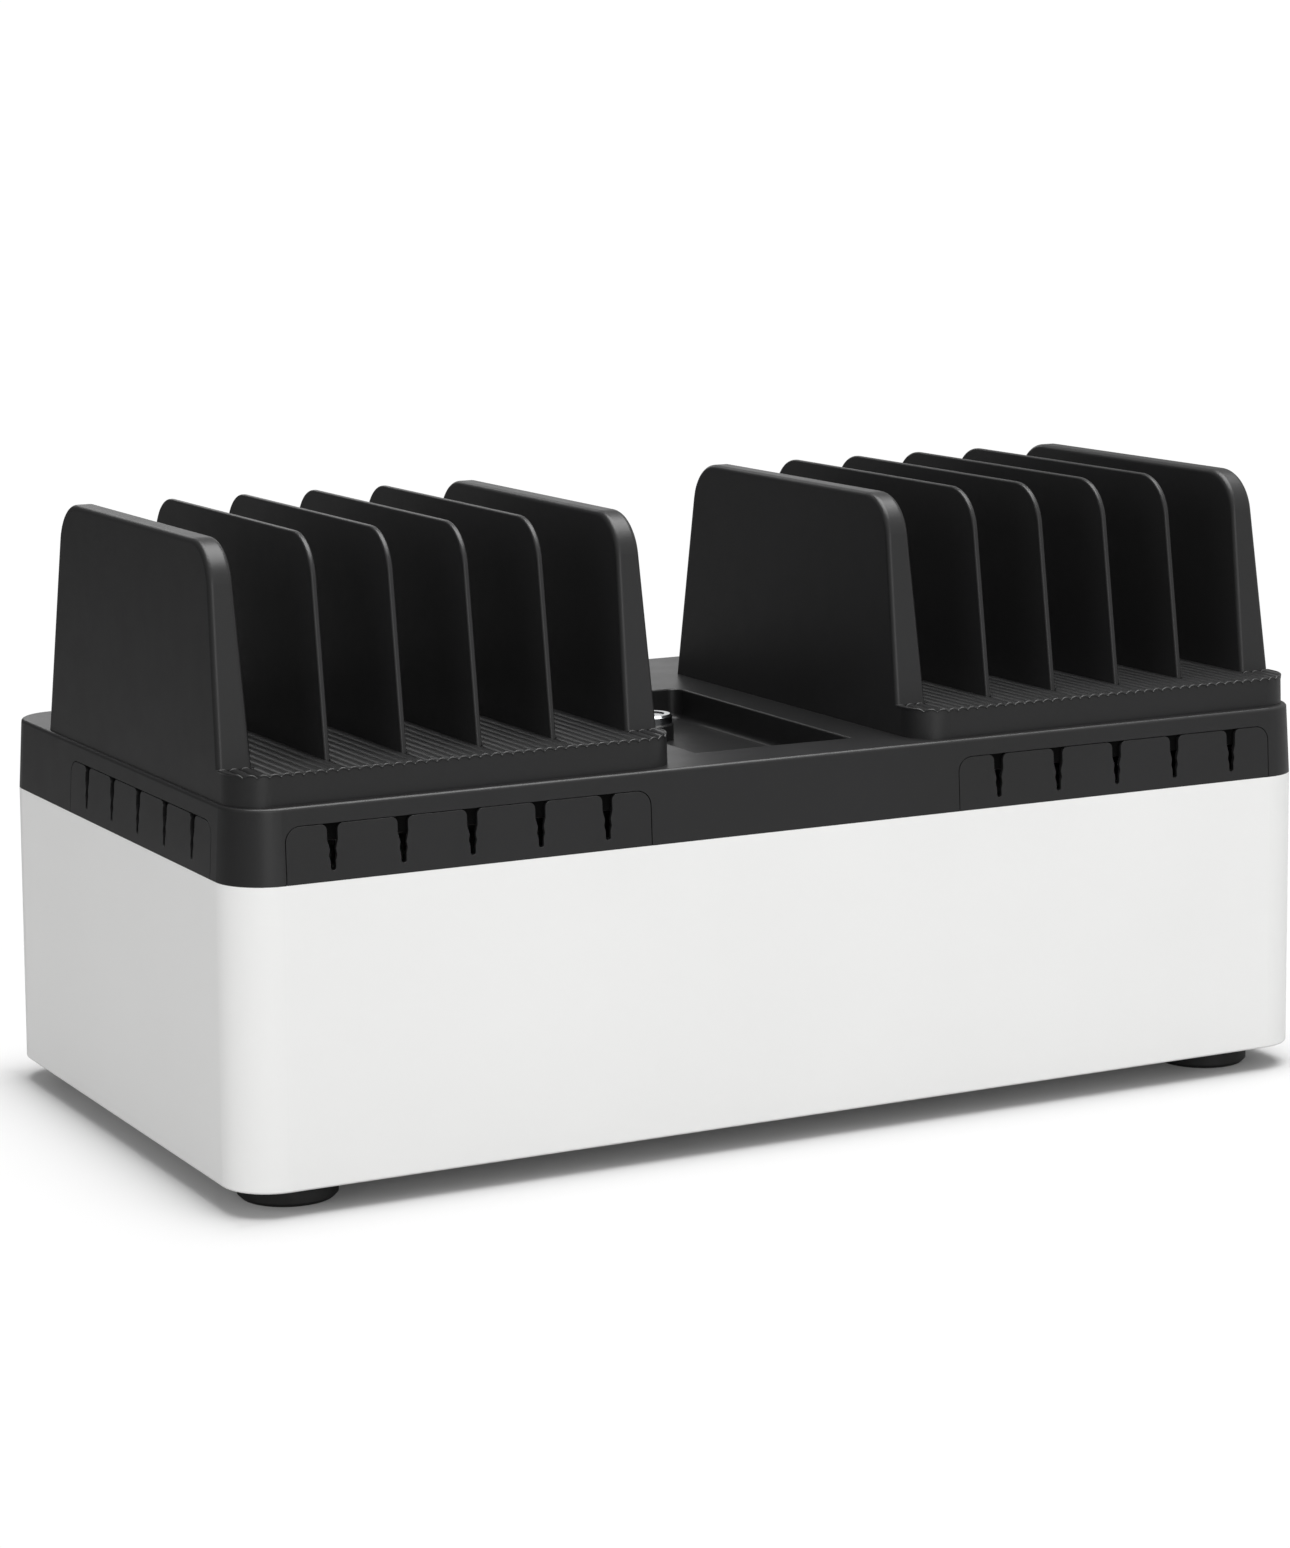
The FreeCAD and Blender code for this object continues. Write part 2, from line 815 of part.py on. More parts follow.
def comb_section():
    """Section across the comb: leaning panel, web over the rim and tongue behind the tub wall."""
    top_lean = lid_lean(d.comb_height)
    tongue_front = d.tub_wall + d.tongue_gap
    tongue_back = tongue_front + d.tongue_thickness
    return [
        (0, 0),
        (top_lean, d.comb_height),
        (top_lean + d.comb_thickness, d.comb_height),
        (d.comb_thickness + lid_lean(d.comb_web_height), d.comb_web_height),
        (tongue_back, d.comb_web_height),
        (tongue_back, -d.tongue_drop),
        (tongue_front, -d.tongue_drop),
        (tongue_front, 0),
    ]


def lid_lean(height):
    """How far the drafted lid wall leans in at a height over the seam."""
    return lean(height, d.lid_draft)


def cable_slot_corners(x):
    """Slot outline, wide at the mouth: a neck and a wider hold for thick cords over a narrow seat."""
    steps = [
        (d.cable_mouth_width / 2, d.comb_height + OVERCUT),
        (d.cable_mouth_width / 2, d.comb_height - d.cable_mouth_depth),
        (d.cable_neck_width / 2, d.comb_height - d.cable_neck_depth),
        (d.cable_hold_width / 2, d.comb_height - d.cable_hold_depth),
        (d.cable_seat_width / 2, d.comb_height - d.cable_seat_depth),
        (d.cable_seat_width / 2, d.cable_slot_foot),
    ]
    return [(x - half, z) for half, z in steps] + [(x + half, z) for half, z in reversed(steps)]


def make_comb(label, x, y, degrees):
    body = start_body(label)
    section = side_sketch(body, 0)
    add_outline(section, comb_section())
    pad(body, section, d.comb_width, middle=True)

    depth = d.tub_wall + d.tongue_gap + d.tongue_thickness
    slot = front_sketch(body, depth)
    add_outline(slot, cable_slot_corners(d.cable_slot_pitch * (1 - CABLE_SLOTS) / 2))
    first_slot = pocket(body, slot, depth, back=True)
    repeat_along_x(body, first_slot, slot, d.cable_slot_pitch, CABLE_SLOTS)
    round_edges(body, d.cable_seat_width / SEAT_ROUNDS, is_slot_foot)
    round_edges(body, d.comb_corner, is_comb_corner)
    round_edges(body, d.cable_shoulder, is_slot_shoulder)

    holes = front_sketch(body, depth)
    for side in (-1, 1):
        add_circle(holes, side * d.comb_screw_reach, -d.comb_screw_drop, screw_hole)
    pocket(body, holes, d.tongue_thickness, back=True)
    turn(body, Z_AXIS, degrees)
    place(body, x, y, seam_z)
    return body


def is_slot_foot(edge):
    return runs_along_y(edge) and near(middle_of(edge).z, d.cable_slot_foot)


def is_comb_corner(edge):
    spot = middle_of(edge)
    return runs_along_y(edge) and near(spot.z, d.comb_height) and near(abs(spot.x), comb_half)


def is_slot_shoulder(edge):
    spot = middle_of(edge)
    inside = abs(spot.x) < comb_half.value - 2 * d.comb_corner.value
    return runs_along_y(edge) and near(spot.z, d.comb_height) and inside


# Lid and racks


def make_lid():
    body = start_body("lid_shell")
    block = flat_sketch(body, seam_z)
    add_rounded_rectangle(block, half_length, half_depth, d.corner_radius)
    pad(body, block, d.lid_height, taper=-d.lid_draft)
    round_edges(body, d.lid_top_round, lambda edge: at_height(edge, lid_top_z))

    room = flat_sketch(body, seam_z)
    add_rounded_rectangle(
        room, half_length - d.lid_wall, half_depth - d.lid_wall, d.corner_radius - d.lid_wall
    )
    pocket(body, room, d.lid_height - d.lid_roof, taper=-d.lid_draft, back=True)

    make_comb_openings(body)
    make_retainers(body)
    make_well(body)

    holes = flat_sketch(body, lid_top_z)
    for center in rack_places.values():
        for x, y in rack_bosses:
            add_circle(holes, center + x, y, screw_hole)
    pocket(body, holes, d.lid_roof)
    return body


def make_comb_openings(body):
    """Cut-outs in the lid's walls that drop over the combs."""
    top = seam_z + d.comb_height + d.comb_gap
    depth = d.lid_wall + lid_lean(d.lid_height) + d.lid_gap
    front = front_sketch(body, -half_depth)
    for x in (-comb_middle_x, comb_middle_x):
        add_rectangle(front, x - comb_opening, x + comb_opening, seam_z, top)
    pocket(body, front, depth)
    for side in (-1, 1):
        end = side_sketch(body, side * half_length)
        add_rectangle(end, d.end_comb_y - comb_opening, d.end_comb_y + comb_opening, seam_z, top)
        pocket(body, end, depth, back=side < 0)
    corner = d.comb_corner + d.comb_gap
    round_edges(body, corner, lambda edge: is_opening_corner(edge, top))


def is_opening_corner(edge, top):
    spot = middle_of(edge)
    if not near(spot.z, top):
        return False
    front_corner = runs_along_y(edge) and near(abs(abs(spot.x) - comb_middle_x.value), comb_opening)
    end_corner = runs_along_x(edge) and near(abs(spot.y - d.end_comb_y.value), comb_opening)
    return front_corner or end_corner


def make_retainers(body):
    """Walls under the lid's roof that close the upper part of the cable slots."""
    roof = lid_top_z - d.lid_roof
    near_edge = d.retainer_offset
    far_edge = near_edge + d.retainer_thickness
    plan = flat_sketch(body, seam_z + d.retainer_foot)
    for x in (-comb_middle_x, comb_middle_x):
        add_rectangle(plan, x - comb_half, x + comb_half, near_edge - half_depth, far_edge - half_depth)
    low = d.end_comb_y - comb_half
    high = d.end_comb_y + comb_half
    add_rectangle(plan, near_edge - half_length, far_edge - half_length, low, high)
    add_rectangle(plan, half_length - far_edge, half_length - near_edge, low, high)
    pad(body, plan, roof - seam_z - d.retainer_foot + d.lid_roof / 2)


def make_well(body):
    """Sunk tray between the racks, with a flat floor at the back and a ramp up to the front."""
    wall = d.well_wall
    tray = side_sketch(body, 0)
    add_outline(
        tray,
        [
            (d.well_back + wall, lid_top_z - d.lid_roof / 2),
            (d.well_back + wall, well_under_z),
            (d.well_ramp_start, well_under_z),
            (d.well_front - wall, lid_top_z - d.lid_roof),
            (d.well_front - wall, lid_top_z - d.lid_roof / 2),
        ],
    )
    pad(body, tray, 2 * (d.well_half_width + wall), middle=True)
    hollow = side_sketch(body, 0)
    add_outline(
        hollow,
        [
            (d.well_back, lid_top_z + OVERCUT),
            (d.well_back, well_floor_z),
            (d.well_ramp_start, well_floor_z),
            (d.well_front, lid_top_z),
            (d.well_front, lid_top_z + OVERCUT),
        ],
    )
    pocket(body, hollow, 2 * d.well_half_width, middle=True)
    round_edges(body, d.well_corner, is_well_corner)
    round_edges(body, d.well_floor_round, is_well_floor_edge)
    round_edges(body, d.well_edge_round, is_well_edge)
    bore = flat_sketch(body, well_floor_z)
    add_circle(bore, 0, d.lock_y, d.lock_body_radius + d.lock_body_gap)
    pocket(body, bore, d.lid_roof)


def is_well_corner(edge):
    spot = middle_of(edge)
    return is_upright(edge) and near(abs(spot.x), d.well_half_width) and near(spot.y, d.well_back)


def is_well_floor_edge(edge):
    spot = middle_of(edge)
    inside = abs(spot.x) < d.well_half_width.value + TOUCH and spot.y < d.well_back.value + TOUCH
    return at_height(edge, well_floor_z) and inside and spot.y > d.well_ramp_start.value + TOUCH


def is_well_edge(edge):
    spot = middle_of(edge)
    inside = abs(spot.x) < d.well_half_width.value + TOUCH and spot.y > d.well_front.value + TOUCH
    return at_height(edge, lid_top_z) and inside and spot.y < d.well_back.value + TOUCH


def make_rack(label, center):
    """Plinth with a grooved top between two hollow, leaning end plates."""
    body = start_body(label)
    half = d.rack_half_width
    inner = half - d.plate_foot
    rise = d.plinth_height + d.plate_height
    right_side = [
        (half, lid_top_z),
        (half - lean(rise, d.rack_draft), plate_top_z),
        (inner + lean(rise, d.rack_draft), plate_top_z),
        (inner + lean(d.plinth_height, d.rack_draft), plinth_top_z),
    ]
    left_side = [(-x, z) for x, z in reversed(right_side)]
    section = front_sketch(body, d.plate_back_foot)
    add_outline(section, right_side + left_side)
    pad(body, section, d.plate_back_foot - d.plinth_front)

    slopes = side_sketch(body, 0)
    front_far = d.plinth_front - OVERCUT
    back_far = d.plate_back_foot + OVERCUT
    over = plate_top_z + OVERCUT
    add_outline(
        slopes,
        [
            (d.plate_front_foot, plinth_top_z),
            (d.plate_front_top, plate_top_z),
            (d.plate_front_top, over),
            (front_far, over),
            (front_far, plinth_top_z),
        ],
    )
    add_outline(
        slopes,
        [
            (d.plate_back_foot, lid_top_z),
            (back_far, lid_top_z),
            (back_far, over),
            (d.plate_back_top, over),
            (d.plate_back_top, plate_top_z),
        ],
    )
    pocket(body, slopes, 2 * (half + OVERCUT), middle=True)
    round_edges(
        body,
        d.plate_corner,
        lambda edge: runs_along_x(edge) and near(middle_of(edge).z, plate_top_z),
    )
    round_edges(body, d.plate_edge_round, is_plate_edge)
    round_edges(
        body, d.plinth_corner, lambda edge: is_upright(edge) and near(middle_of(edge).y, d.plinth_front)
    )
    make_rack_underside(body)
    make_grooves(body)
    make_divider_seats(body)
    place(body, center, 0, 0)
    return body


def make_grooves(body):
    """Round ridges from front to back: over the whole width in front of the end plates, and between them."""
    wide = 2 * int(d.rack_half_width.value / d.groove_pitch.value)
    plate_face = d.rack_half_width - d.plate_foot
    narrow = 2 * int((plate_face - d.groove_width / 2).value / d.groove_pitch.value + 0.5)
    back = d.plate_back_foot
    for count, start, stop in (
        (wide, d.plinth_front, d.plate_front_foot),
        (narrow, d.plate_front_foot, back),
    ):
        sketch = front_sketch(body, start)
        add_groove(sketch, d.groove_pitch * (1 - count) / 2)
        groove = pocket(body, sketch, stop - start)
        repeat_along_x(body, groove, sketch, d.groove_pitch, count)


def add_groove(sketch, x):
    """Valley between two round ridges: a flat top and two arcs that meet at the bottom."""
    half = d.groove_width / 2
    depth = d.groove_depth
    radius = (half * half + depth * depth) / (2 * depth)
    center_z = plinth_top_z - radius
    steep = math.atan2((radius - depth).value, half.value)
    left = x - half
    right = x + half
    top = line((right, plinth_top_z), (left, plinth_top_z))
    right_ridge = arc((right, center_z), radius, math.pi / 2, math.pi - steep)
    left_ridge = arc((left, center_z), radius, steep, math.pi / 2)
    sketch.addGeometry([top, right_ridge, left_ridge], False)
    wanted = [(Sketcher.Constraint("Coincident", 0, 1, 1, 1), None)]
    wanted += [(Sketcher.Constraint("Coincident", 0, 2, 2, 2), None)]
    wanted += [(Sketcher.Constraint("Coincident", 1, 2, 2, 1), None)]
    wanted += [with_radius(1, radius), with_radius(2, radius)]
    wanted += at_point(0, 1, right, plinth_top_z) + at_point(0, 2, left, plinth_top_z)
    wanted += at_point(2, 1, x, plinth_top_z - depth)
    hold(sketch, wanted)


def is_plate_edge(edge):
    spot = middle_of(edge)
    above = spot.z > plinth_top_z.value + 1
    return above and edge.Length > OUTLINE_EDGE and not runs_along_x(edge)


def make_rack_underside(body):
    """Hollows under the plinth and up inside the end plates, with screw bosses left standing."""
    wall = d.plinth_wall
    half = d.rack_half_width
    hollow_height = d.plinth_height - d.plinth_roof
    hollow = flat_sketch(body, lid_top_z)
    inner = half - d.plate_foot - wall
    hollow_front = d.plinth_front + wall + d.plinth_corner / 2
    add_rectangle(hollow, -inner, inner, hollow_front, d.plate_back_foot - 2 * wall)
    pocket(body, hollow, hollow_height, back=True)
    cores = flat_sketch(body, lid_top_z)
    for side in (-1, 1):
        near_x = side * (half - d.plate_foot + d.plate_skin)
        far_x = side * (half - d.plate_skin)
        left, right = (far_x, near_x) if side < 0 else (near_x, far_x)
        core_front = d.plate_front_top + d.plate_corner / 2
        core_back = d.plate_back_top - d.plate_corner / 2
        add_rectangle(cores, left, right, core_front, core_back)
    core_height = d.plinth_height + d.plate_height - d.plate_corner / 2
    pocket(body, cores, core_height, taper=-d.rack_draft, back=True)
    bosses = flat_sketch(body, lid_top_z)
    for x, y in rack_bosses:
        add_circle(bosses, x, y, d.rack_boss_radius)
    pad(body, bosses, hollow_height + d.plinth_roof / 4)
    pilots = flat_sketch(body, lid_top_z)
    for x, y in rack_bosses:
        add_circle(pilots, x, y, screw_pilot)
    pocket(body, pilots, d.screw_bite + d.screw_clearance, back=True)


def divider_xs():
    return [(index - (DIVIDERS - 1) / 2) * d.divider_pitch for index in range(DIVIDERS)]


def divider_foot_y(height):
    """Front and back of a divider at a depth under the plinth's top, along its sloping edges."""
    front_rate = (d.plate_front_top - d.plate_front_foot) / d.plate_height
    back_rate = (d.plate_back_top - d.plate_back_foot) / (d.plinth_height + d.plate_height)
    front = d.plate_front_foot + d.divider_inset - front_rate * height
    return front, d.plate_back_top - back_rate * (d.plate_height + height)


def make_divider_seats(body):
    """Slots in the plinth's top that hold the dividers' lower edges."""
    front, back = divider_foot_y(d.divider_seat)
    half_slot = d.divider_thickness / 2 + d.divider_gap
    slots = flat_sketch(body, plinth_top_z)
    for x in divider_xs():
        add_rectangle(slots, x - half_slot, x + half_slot, front - d.divider_gap, back + d.divider_gap)
    pocket(body, slots, d.divider_seat)


def make_divider(label, x):
    body = start_body(label)
    seat_z = plinth_top_z - d.divider_seat
    front, back = divider_foot_y(d.divider_seat)
    side = side_sketch(body, 0)
    add_outline(
        side,
        [
            (front, seat_z),
            (back, seat_z),
            (d.plate_back_top, plate_top_z),
            (d.plate_front_top + d.divider_inset, plate_top_z),
        ],
    )
    pad(body, side, d.divider_thickness, middle=True)
    round_edges(
        body,
        d.plate_corner,
        lambda edge: runs_along_x(edge) and near(middle_of(edge).z, plate_top_z),
    )
    round_edges(
        body,
        d.divider_edge_round,
        lambda edge: not runs_along_x(edge) and middle_of(edge).z > seat_z.value + 1,
    )
    place(body, x, 0, 0)
    return body


# Key lock, post and keeper


def make_lock_skirt():
    body = start_body("lock_skirt")
    inner = d.lock_body_radius + d.lock_body_gap
    revolve(
        body,
        [
            (inner, 0),
            (d.lock_skirt_radius, 0),
            (d.lock_skirt_radius, d.lock_skirt_height - d.foot_edge / 2),
            (d.lock_head_radius, d.lock_skirt_height),
            (inner, d.lock_skirt_height),
        ],
    )
    place(body, 0, d.lock_y, well_floor_z)
    return body


def make_lock_barrel():
    """Bright barrel: bevelled head on the skirt, plain neck down through the lid."""
    body = start_body("lock_barrel")
    bore = d.plug_radius + d.plug_running_gap
    head_foot = well_floor_z + d.lock_skirt_height
    head_top = head_foot + d.lock_head_height
    bevel = d.lock_head_height / 4
    revolve(
        body,
        [
            (bore, barrel_foot_z),
            (d.lock_body_radius, barrel_foot_z),
            (d.lock_body_radius, head_foot),
            (d.lock_head_radius, head_foot),
            (d.lock_head_radius, head_top - bevel),
            (d.lock_head_radius - bevel, head_top),
            (bore, head_top),
        ],
    )
    place(body, 0, d.lock_y, 0)
    return body


def make_lock_nut():
    """Hexagon nut under the well's floor."""
    prism = doc.addObject("Part::Prism", "lock_nut_blank")
    prism.Polygon = 6
    bind(prism, "Circumradius", d.lock_nut_width * HEXAGON_REACH)
    bind(prism, "Height", d.lock_nut_height)
    low = well_under_z - d.lock_nut_height
    place(prism, 0, d.lock_y, low)
    bore_radius = d.lock_body_radius + d.pilot_gap
    bore = add_cylinder("lock_nut_bore", 0, d.lock_y, low, bore_radius, d.lock_nut_height)
    return add_cut("lock_nut", prism, [bore])


def make_lock_plug():
    """Turning core with its key slot, round tail and square end for the cam."""
    body = start_body("lock_plug")
    top = well_floor_z + d.lock_skirt_height + d.lock_head_height - d.plug_sink
    core = flat_sketch(body, cam_top_z)
    add_circle(core, 0, 0, d.plug_radius)
    pad(body, core, top - cam_top_z)
    end = flat_sketch(body, cam_foot_z)
    half = d.cam_square / 2
    add_rectangle(end, -half, half, -half, half)
    pad(body, end, d.cam_thickness)
    slot = flat_sketch(body, top)
    half_slot = d.key_slot_width / 2
    half_reach = d.key_slot_length / 2
    add_rectangle(slot, -half_slot, half_slot, -half_reach, half_reach)
    pocket(body, slot, d.key_slot_depth)
    pilot = flat_sketch(body, cam_foot_z)
    add_circle(pilot, 0, 0, screw_pilot)
    pocket(body, pilot, d.screw_bite + d.screw_clearance, back=True)
    place(body, 0, d.lock_y, 0)
    return body


def make_lock_cam():
    body = start_body("lock_cam")
    plan = flat_sketch(body, cam_foot_z)
    half_reach = d.cam_length / 2
    half_width = d.cam_width / 2
    add_rectangle(plan, -half_reach, half_reach, -half_width, half_width)
    square = d.cam_square / 2 + d.cam_fit_gap
    add_rectangle(plan, -square, square, -square, square)
    pad(body, plan, d.cam_thickness)
    round_edges(
        body,
        d.cam_width / 4,
        lambda edge: is_upright(edge) and abs(middle_of(edge).x) > square.value + 1,
    )
    place(body, 0, d.lock_y, 0)
    return body


def make_lock_post():
    """Square column on the tub's floor, open for the cam, with solid corners for screws."""
    body = start_body("lock_post")
    half = d.post_width / 2
    wide = half - d.post_wall
    narrow = wide - d.post_corner
    plan = flat_sketch(body, floor_z)
    add_rectangle(plan, -half, half, -half, half)
    pad(body, plan, post_top_z - floor_z)
    room = flat_sketch(body, post_top_z)
    add_outline(
        room,
        [
            (-wide, -narrow),
            (-narrow, -narrow),
            (-narrow, -wide),
            (narrow, -wide),
            (narrow, -narrow),
            (wide, -narrow),
            (wide, narrow),
            (narrow, narrow),
            (narrow, wide),
            (-narrow, wide),
            (-narrow, narrow),
            (-wide, narrow),
        ],
    )
    pocket(body, room, post_top_z - floor_z)
    round_edges(body, d.post_wall, lambda edge: is_upright(edge) and near(abs(middle_of(edge).x), half))
    for height, back in ((floor_z, True), (post_top_z, False)):
        pilots = flat_sketch(body, height)
        for x, y in post_screw_spots:
            add_circle(pilots, x, y - d.lock_y, screw_pilot)
        pocket(body, pilots, d.screw_bite + d.screw_clearance, back=back)
    place(body, 0, d.lock_y, 0)
    return body


def make_keeper():
    """Steel plate on the post; its slot lets the cam through in one direction only."""
    half = d.post_width / 2
    plate = add_box("keeper_blank", -half, half, d.lock_y - half, d.lock_y + half, post_top_z, keeper_top_z)
    reach = d.keeper_slot_length / 2
    side = d.keeper_slot_width / 2
    slot = add_box("keeper_slot", -reach, reach, d.lock_y - side, d.lock_y + side, post_top_z, keeper_top_z)
    holes = [
        add_cylinder("keeper_hole", x, y, post_top_z, screw_hole, d.keeper_thickness)
        for x, y in post_screw_spots
    ]
    return add_cut("keeper_plate", plate, [slot] + holes)


# Outlet strips


def strip_rib_xs():
    return [strip_middle_x + share * d.outlet_pitch for share in (-2, -1, 0, 1, 2)]


def make_strip_base(label, y):
    body = start_body(label)
    half = d.strip_width / 2
    wall = d.strip_wall
    plan = flat_sketch(body, floor_z)
    add_rectangle(plan, strip_left, strip_right, -half, half)
    pad(body, plan, d.strip_base_height)
    round_edges(body, d.strip_round, is_upright)
    room = flat_sketch(body, strip_split_z)
    add_rectangle(room, strip_left + wall, strip_right - wall, wall - half, half - wall)
    pocket(body, room, d.strip_base_height - wall)
    ribs = flat_sketch(body, floor_z + wall)
    for x in strip_rib_xs():
        half_rib = d.rib_thickness / 2
        add_rectangle(ribs, x - half_rib, x + half_rib, wall / 2 - half, half - wall / 2)
    pad(body, ribs, d.rib_height)
    columns = flat_sketch(body, floor_z + wall)
    spots = [(x, spot_y - y) for x, spot_y in strip_columns if near_strip(spot_y, y)]
    for x, shift in spots:
        add_circle(columns, x, shift, d.strip_column_radius)
    pad(body, columns, d.strip_base_height - wall)
    holes = flat_sketch(body, floor_z)
    for x, shift in spots:
        add_circle(holes, x, shift, screw_hole)
    pocket(body, holes, d.strip_base_height, back=True)
    gland = side_sketch(body, strip_right)
    add_circle(gland, 0, lead_z, d.lead_radius + d.lead_gap)
    pocket(body, gland, wall)
    place(body, 0, y, 0)
    return body


def near_strip(spot_y, y):
    return abs(spot_y.value - y.value) < d.strip_width.value / 2


def make_strip_cover(label, y):
    body = start_body(label)
    half = d.strip_width / 2
    wall = d.strip_wall
    plan = flat_sketch(body, strip_split_z)
    add_rectangle(plan, strip_left, strip_right, -half, half)
    pad(body, plan, d.strip_cover_height)
    round_edges(body, d.strip_round, is_upright)
    round_edges(body, d.strip_round / 2, lambda edge: at_height(edge, strip_top_z))
    room = flat_sketch(body, strip_split_z)
    add_rectangle(room, strip_left + wall, strip_right - wall, wall - half, half - wall)
    pocket(body, room, d.strip_cover_height - wall, back=True)
    faces = flat_sketch(body, strip_top_z)
    for x in outlet_xs:
        add_circle(faces, x, 0, d.outlet_face_radius)
    pad(body, faces, d.outlet_face_height)
    columns = flat_sketch(body, strip_split_z)
    spots = [(x, spot_y - y) for x, spot_y in strip_columns if near_strip(spot_y, y)]
    for x, shift in spots:
        add_circle(columns, x, shift, d.strip_column_radius)
    pad(body, columns, d.strip_cover_height - wall / 2)
    pilots = flat_sketch(body, strip_split_z)
    for x, shift in spots:
        add_circle(pilots, x, shift, screw_pilot)
    pocket(body, pilots, d.screw_bite + d.screw_clearance, back=True)
    outlets = flat_sketch(body, strip_top_z + d.outlet_face_height)
    half_slot = d.blade_slot_width / 2
    for x in outlet_xs:
        left = x - d.blade_shift - d.blade_slot_length / 2
        for side in (-1, 1):
            blade_y = side * d.blade_spacing / 2
            add_rectangle(outlets, left, left + d.blade_slot_length, blade_y - half_slot, blade_y + half_slot)
        add_circle(outlets, x + d.ground_shift, 0, d.ground_radius)
    pocket(body, outlets, wall + d.outlet_face_height)
    place(body, 0, y, 0)
    return body


def make_bar(label, y, shift, tab_shift):
    """Contact bar on the strip's ribs, with one upright tab under each outlet."""
    body = start_body(label)
    half = d.bar_width / 2
    gap = d.strip_wall + d.bar_end_gap
    plan = flat_sketch(body, bar_z)
    add_rectangle(plan, strip_left + gap, strip_right - gap, -half, half)
    pad(body, plan, d.bar_thickness)
    tabs = flat_sketch(body, bar_z)
    for x in outlet_xs:
        middle = x + tab_shift
        half_tab = d.tab_length / 2
        add_rectangle(tabs, middle - half_tab, middle + half_tab, -half, d.bar_thickness - half)
    pad(body, tabs, d.tab_height)
    place(body, 0, y + shift, 0)
    return body


# Rear panel: inlet, switch, breaker and terminal cover


def make_inlet():
    """Mains inlet: flange behind the panel, nose flush with the panel's face, open cavity."""
    body = start_body("power_inlet")
    flange = front_sketch(body, panel_back_y)
    half_width = d.inlet_flange_width / 2
    half_height = d.inlet_flange_height / 2
    add_rectangle(flange, -half_width, half_width, panel_middle_z - half_height, panel_middle_z + half_height)
    pad(body, flange, d.inlet_flange_thickness)
    nose = front_sketch(body, panel_face_y)
    half_nose = d.inlet_width / 2
    half_rise = d.inlet_height / 2
    add_rectangle(nose, -half_nose, half_nose, panel_middle_z - half_rise, panel_middle_z + half_rise)
    pad(body, nose, d.panel_thickness + d.inlet_body_depth)
    cavity = front_sketch(body, panel_face_y)
    half_room = d.inlet_cavity_width / 2
    half_open = d.inlet_cavity_height / 2
    chamfer = d.inlet_cavity_height / 4
    add_outline(
        cavity,
        [
            (-half_room, panel_middle_z - half_open),
            (half_room, panel_middle_z - half_open),
            (half_room, panel_middle_z + half_open - chamfer),
            (half_room - chamfer, panel_middle_z + half_open),
            (chamfer - half_room, panel_middle_z + half_open),
            (-half_room, panel_middle_z + half_open - chamfer),
        ],
    )
    pocket(body, cavity, d.inlet_cavity_depth, back=True)
    pins = front_sketch(body, panel_face_y - d.inlet_cavity_depth)
    for x, z in pin_spots():
        half_pin = d.pin_thickness / 2
        rise = d.pin_width / 2
        add_rectangle(pins, x - half_pin, x + half_pin, z - rise, z + rise)
    pocket(body, pins, d.panel_thickness + d.inlet_body_depth, back=True)
    screws = front_sketch(body, panel_back_y)
    for side in (-1, 1):
        add_circle(screws, side * d.inlet_screw_reach, panel_middle_z, screw_pilot)
    pocket(body, screws, d.inlet_flange_thickness, back=True)
    place(body, inlet_middle_x, 0, 0)
    return body


def pin_spots():
    low = panel_middle_z - d.pin_rise
    return [(-d.pin_spacing, low), (as_size(0), panel_middle_z + d.pin_rise), (d.pin_spacing, low)]


def make_pins():
    pins = []
    back = panel_face_y - d.panel_thickness - d.inlet_body_depth
    for x, z in pin_spots():
        half_pin = d.pin_thickness / 2
        rise = d.pin_width / 2
        middle = inlet_middle_x + x
        front = back - d.bar_end_gap
        across = (middle - half_pin, middle + half_pin)
        pin = add_box("inlet_pin", *across, front, front + d.pin_length, z - rise, z + rise)
        pins.append(pin)
    group = doc.addObject("Part::Compound", "inlet_pins")
    group.Links = pins
    group.Label = "inlet_pins"
    return group


def make_switch_frame():
    """Bezel on the panel's face and a body behind it, with a hollow for the rocker."""
    body = start_body("switch_frame")
    half_body = d.switch_body_width / 2
    half_rise = d.switch_body_height / 2
    inside = front_sketch(body, panel_face_y)
    add_rectangle(inside, -half_body, half_body, panel_middle_z - half_rise, panel_middle_z + half_rise)
    pad(body, inside, d.switch_body_depth)
    bezel = front_sketch(body, panel_face_y + d.switch_bezel_thickness)
    half_bezel = d.switch_bezel_width / 2
    half_bezel_rise = d.switch_bezel_height / 2
    add_rectangle(
        bezel, -half_bezel, half_bezel, panel_middle_z - half_bezel_rise, panel_middle_z + half_bezel_rise
    )
    pad(body, bezel, d.switch_bezel_thickness)
    room = front_sketch(body, panel_face_y + d.switch_bezel_thickness)
    half_room = d.rocker_width / 2 + d.rocker_swing
    half_open = d.rocker_height / 2 + d.rocker_gap
    add_rectangle(room, -half_room, half_room, panel_middle_z - half_open, panel_middle_z + half_open)
    pocket(body, room, rocker_room_depth(), back=True)
    bearing = flat_sketch(body, panel_middle_z)
    add_circle(bearing, 0, rocker_pivot_y(), d.rocker_pin_radius + d.rocker_pin_gap)
    pocket(body, bearing, 2 * (half_open + d.rocker_pin_length), middle=True)
    place(body, switch_middle_x, 0, 0)
    return body


def rocker_pivot_y():
    return panel_face_y - d.rocker_crest


def rocker_room_depth():
    return d.switch_bezel_thickness + 3 * d.rocker_crest


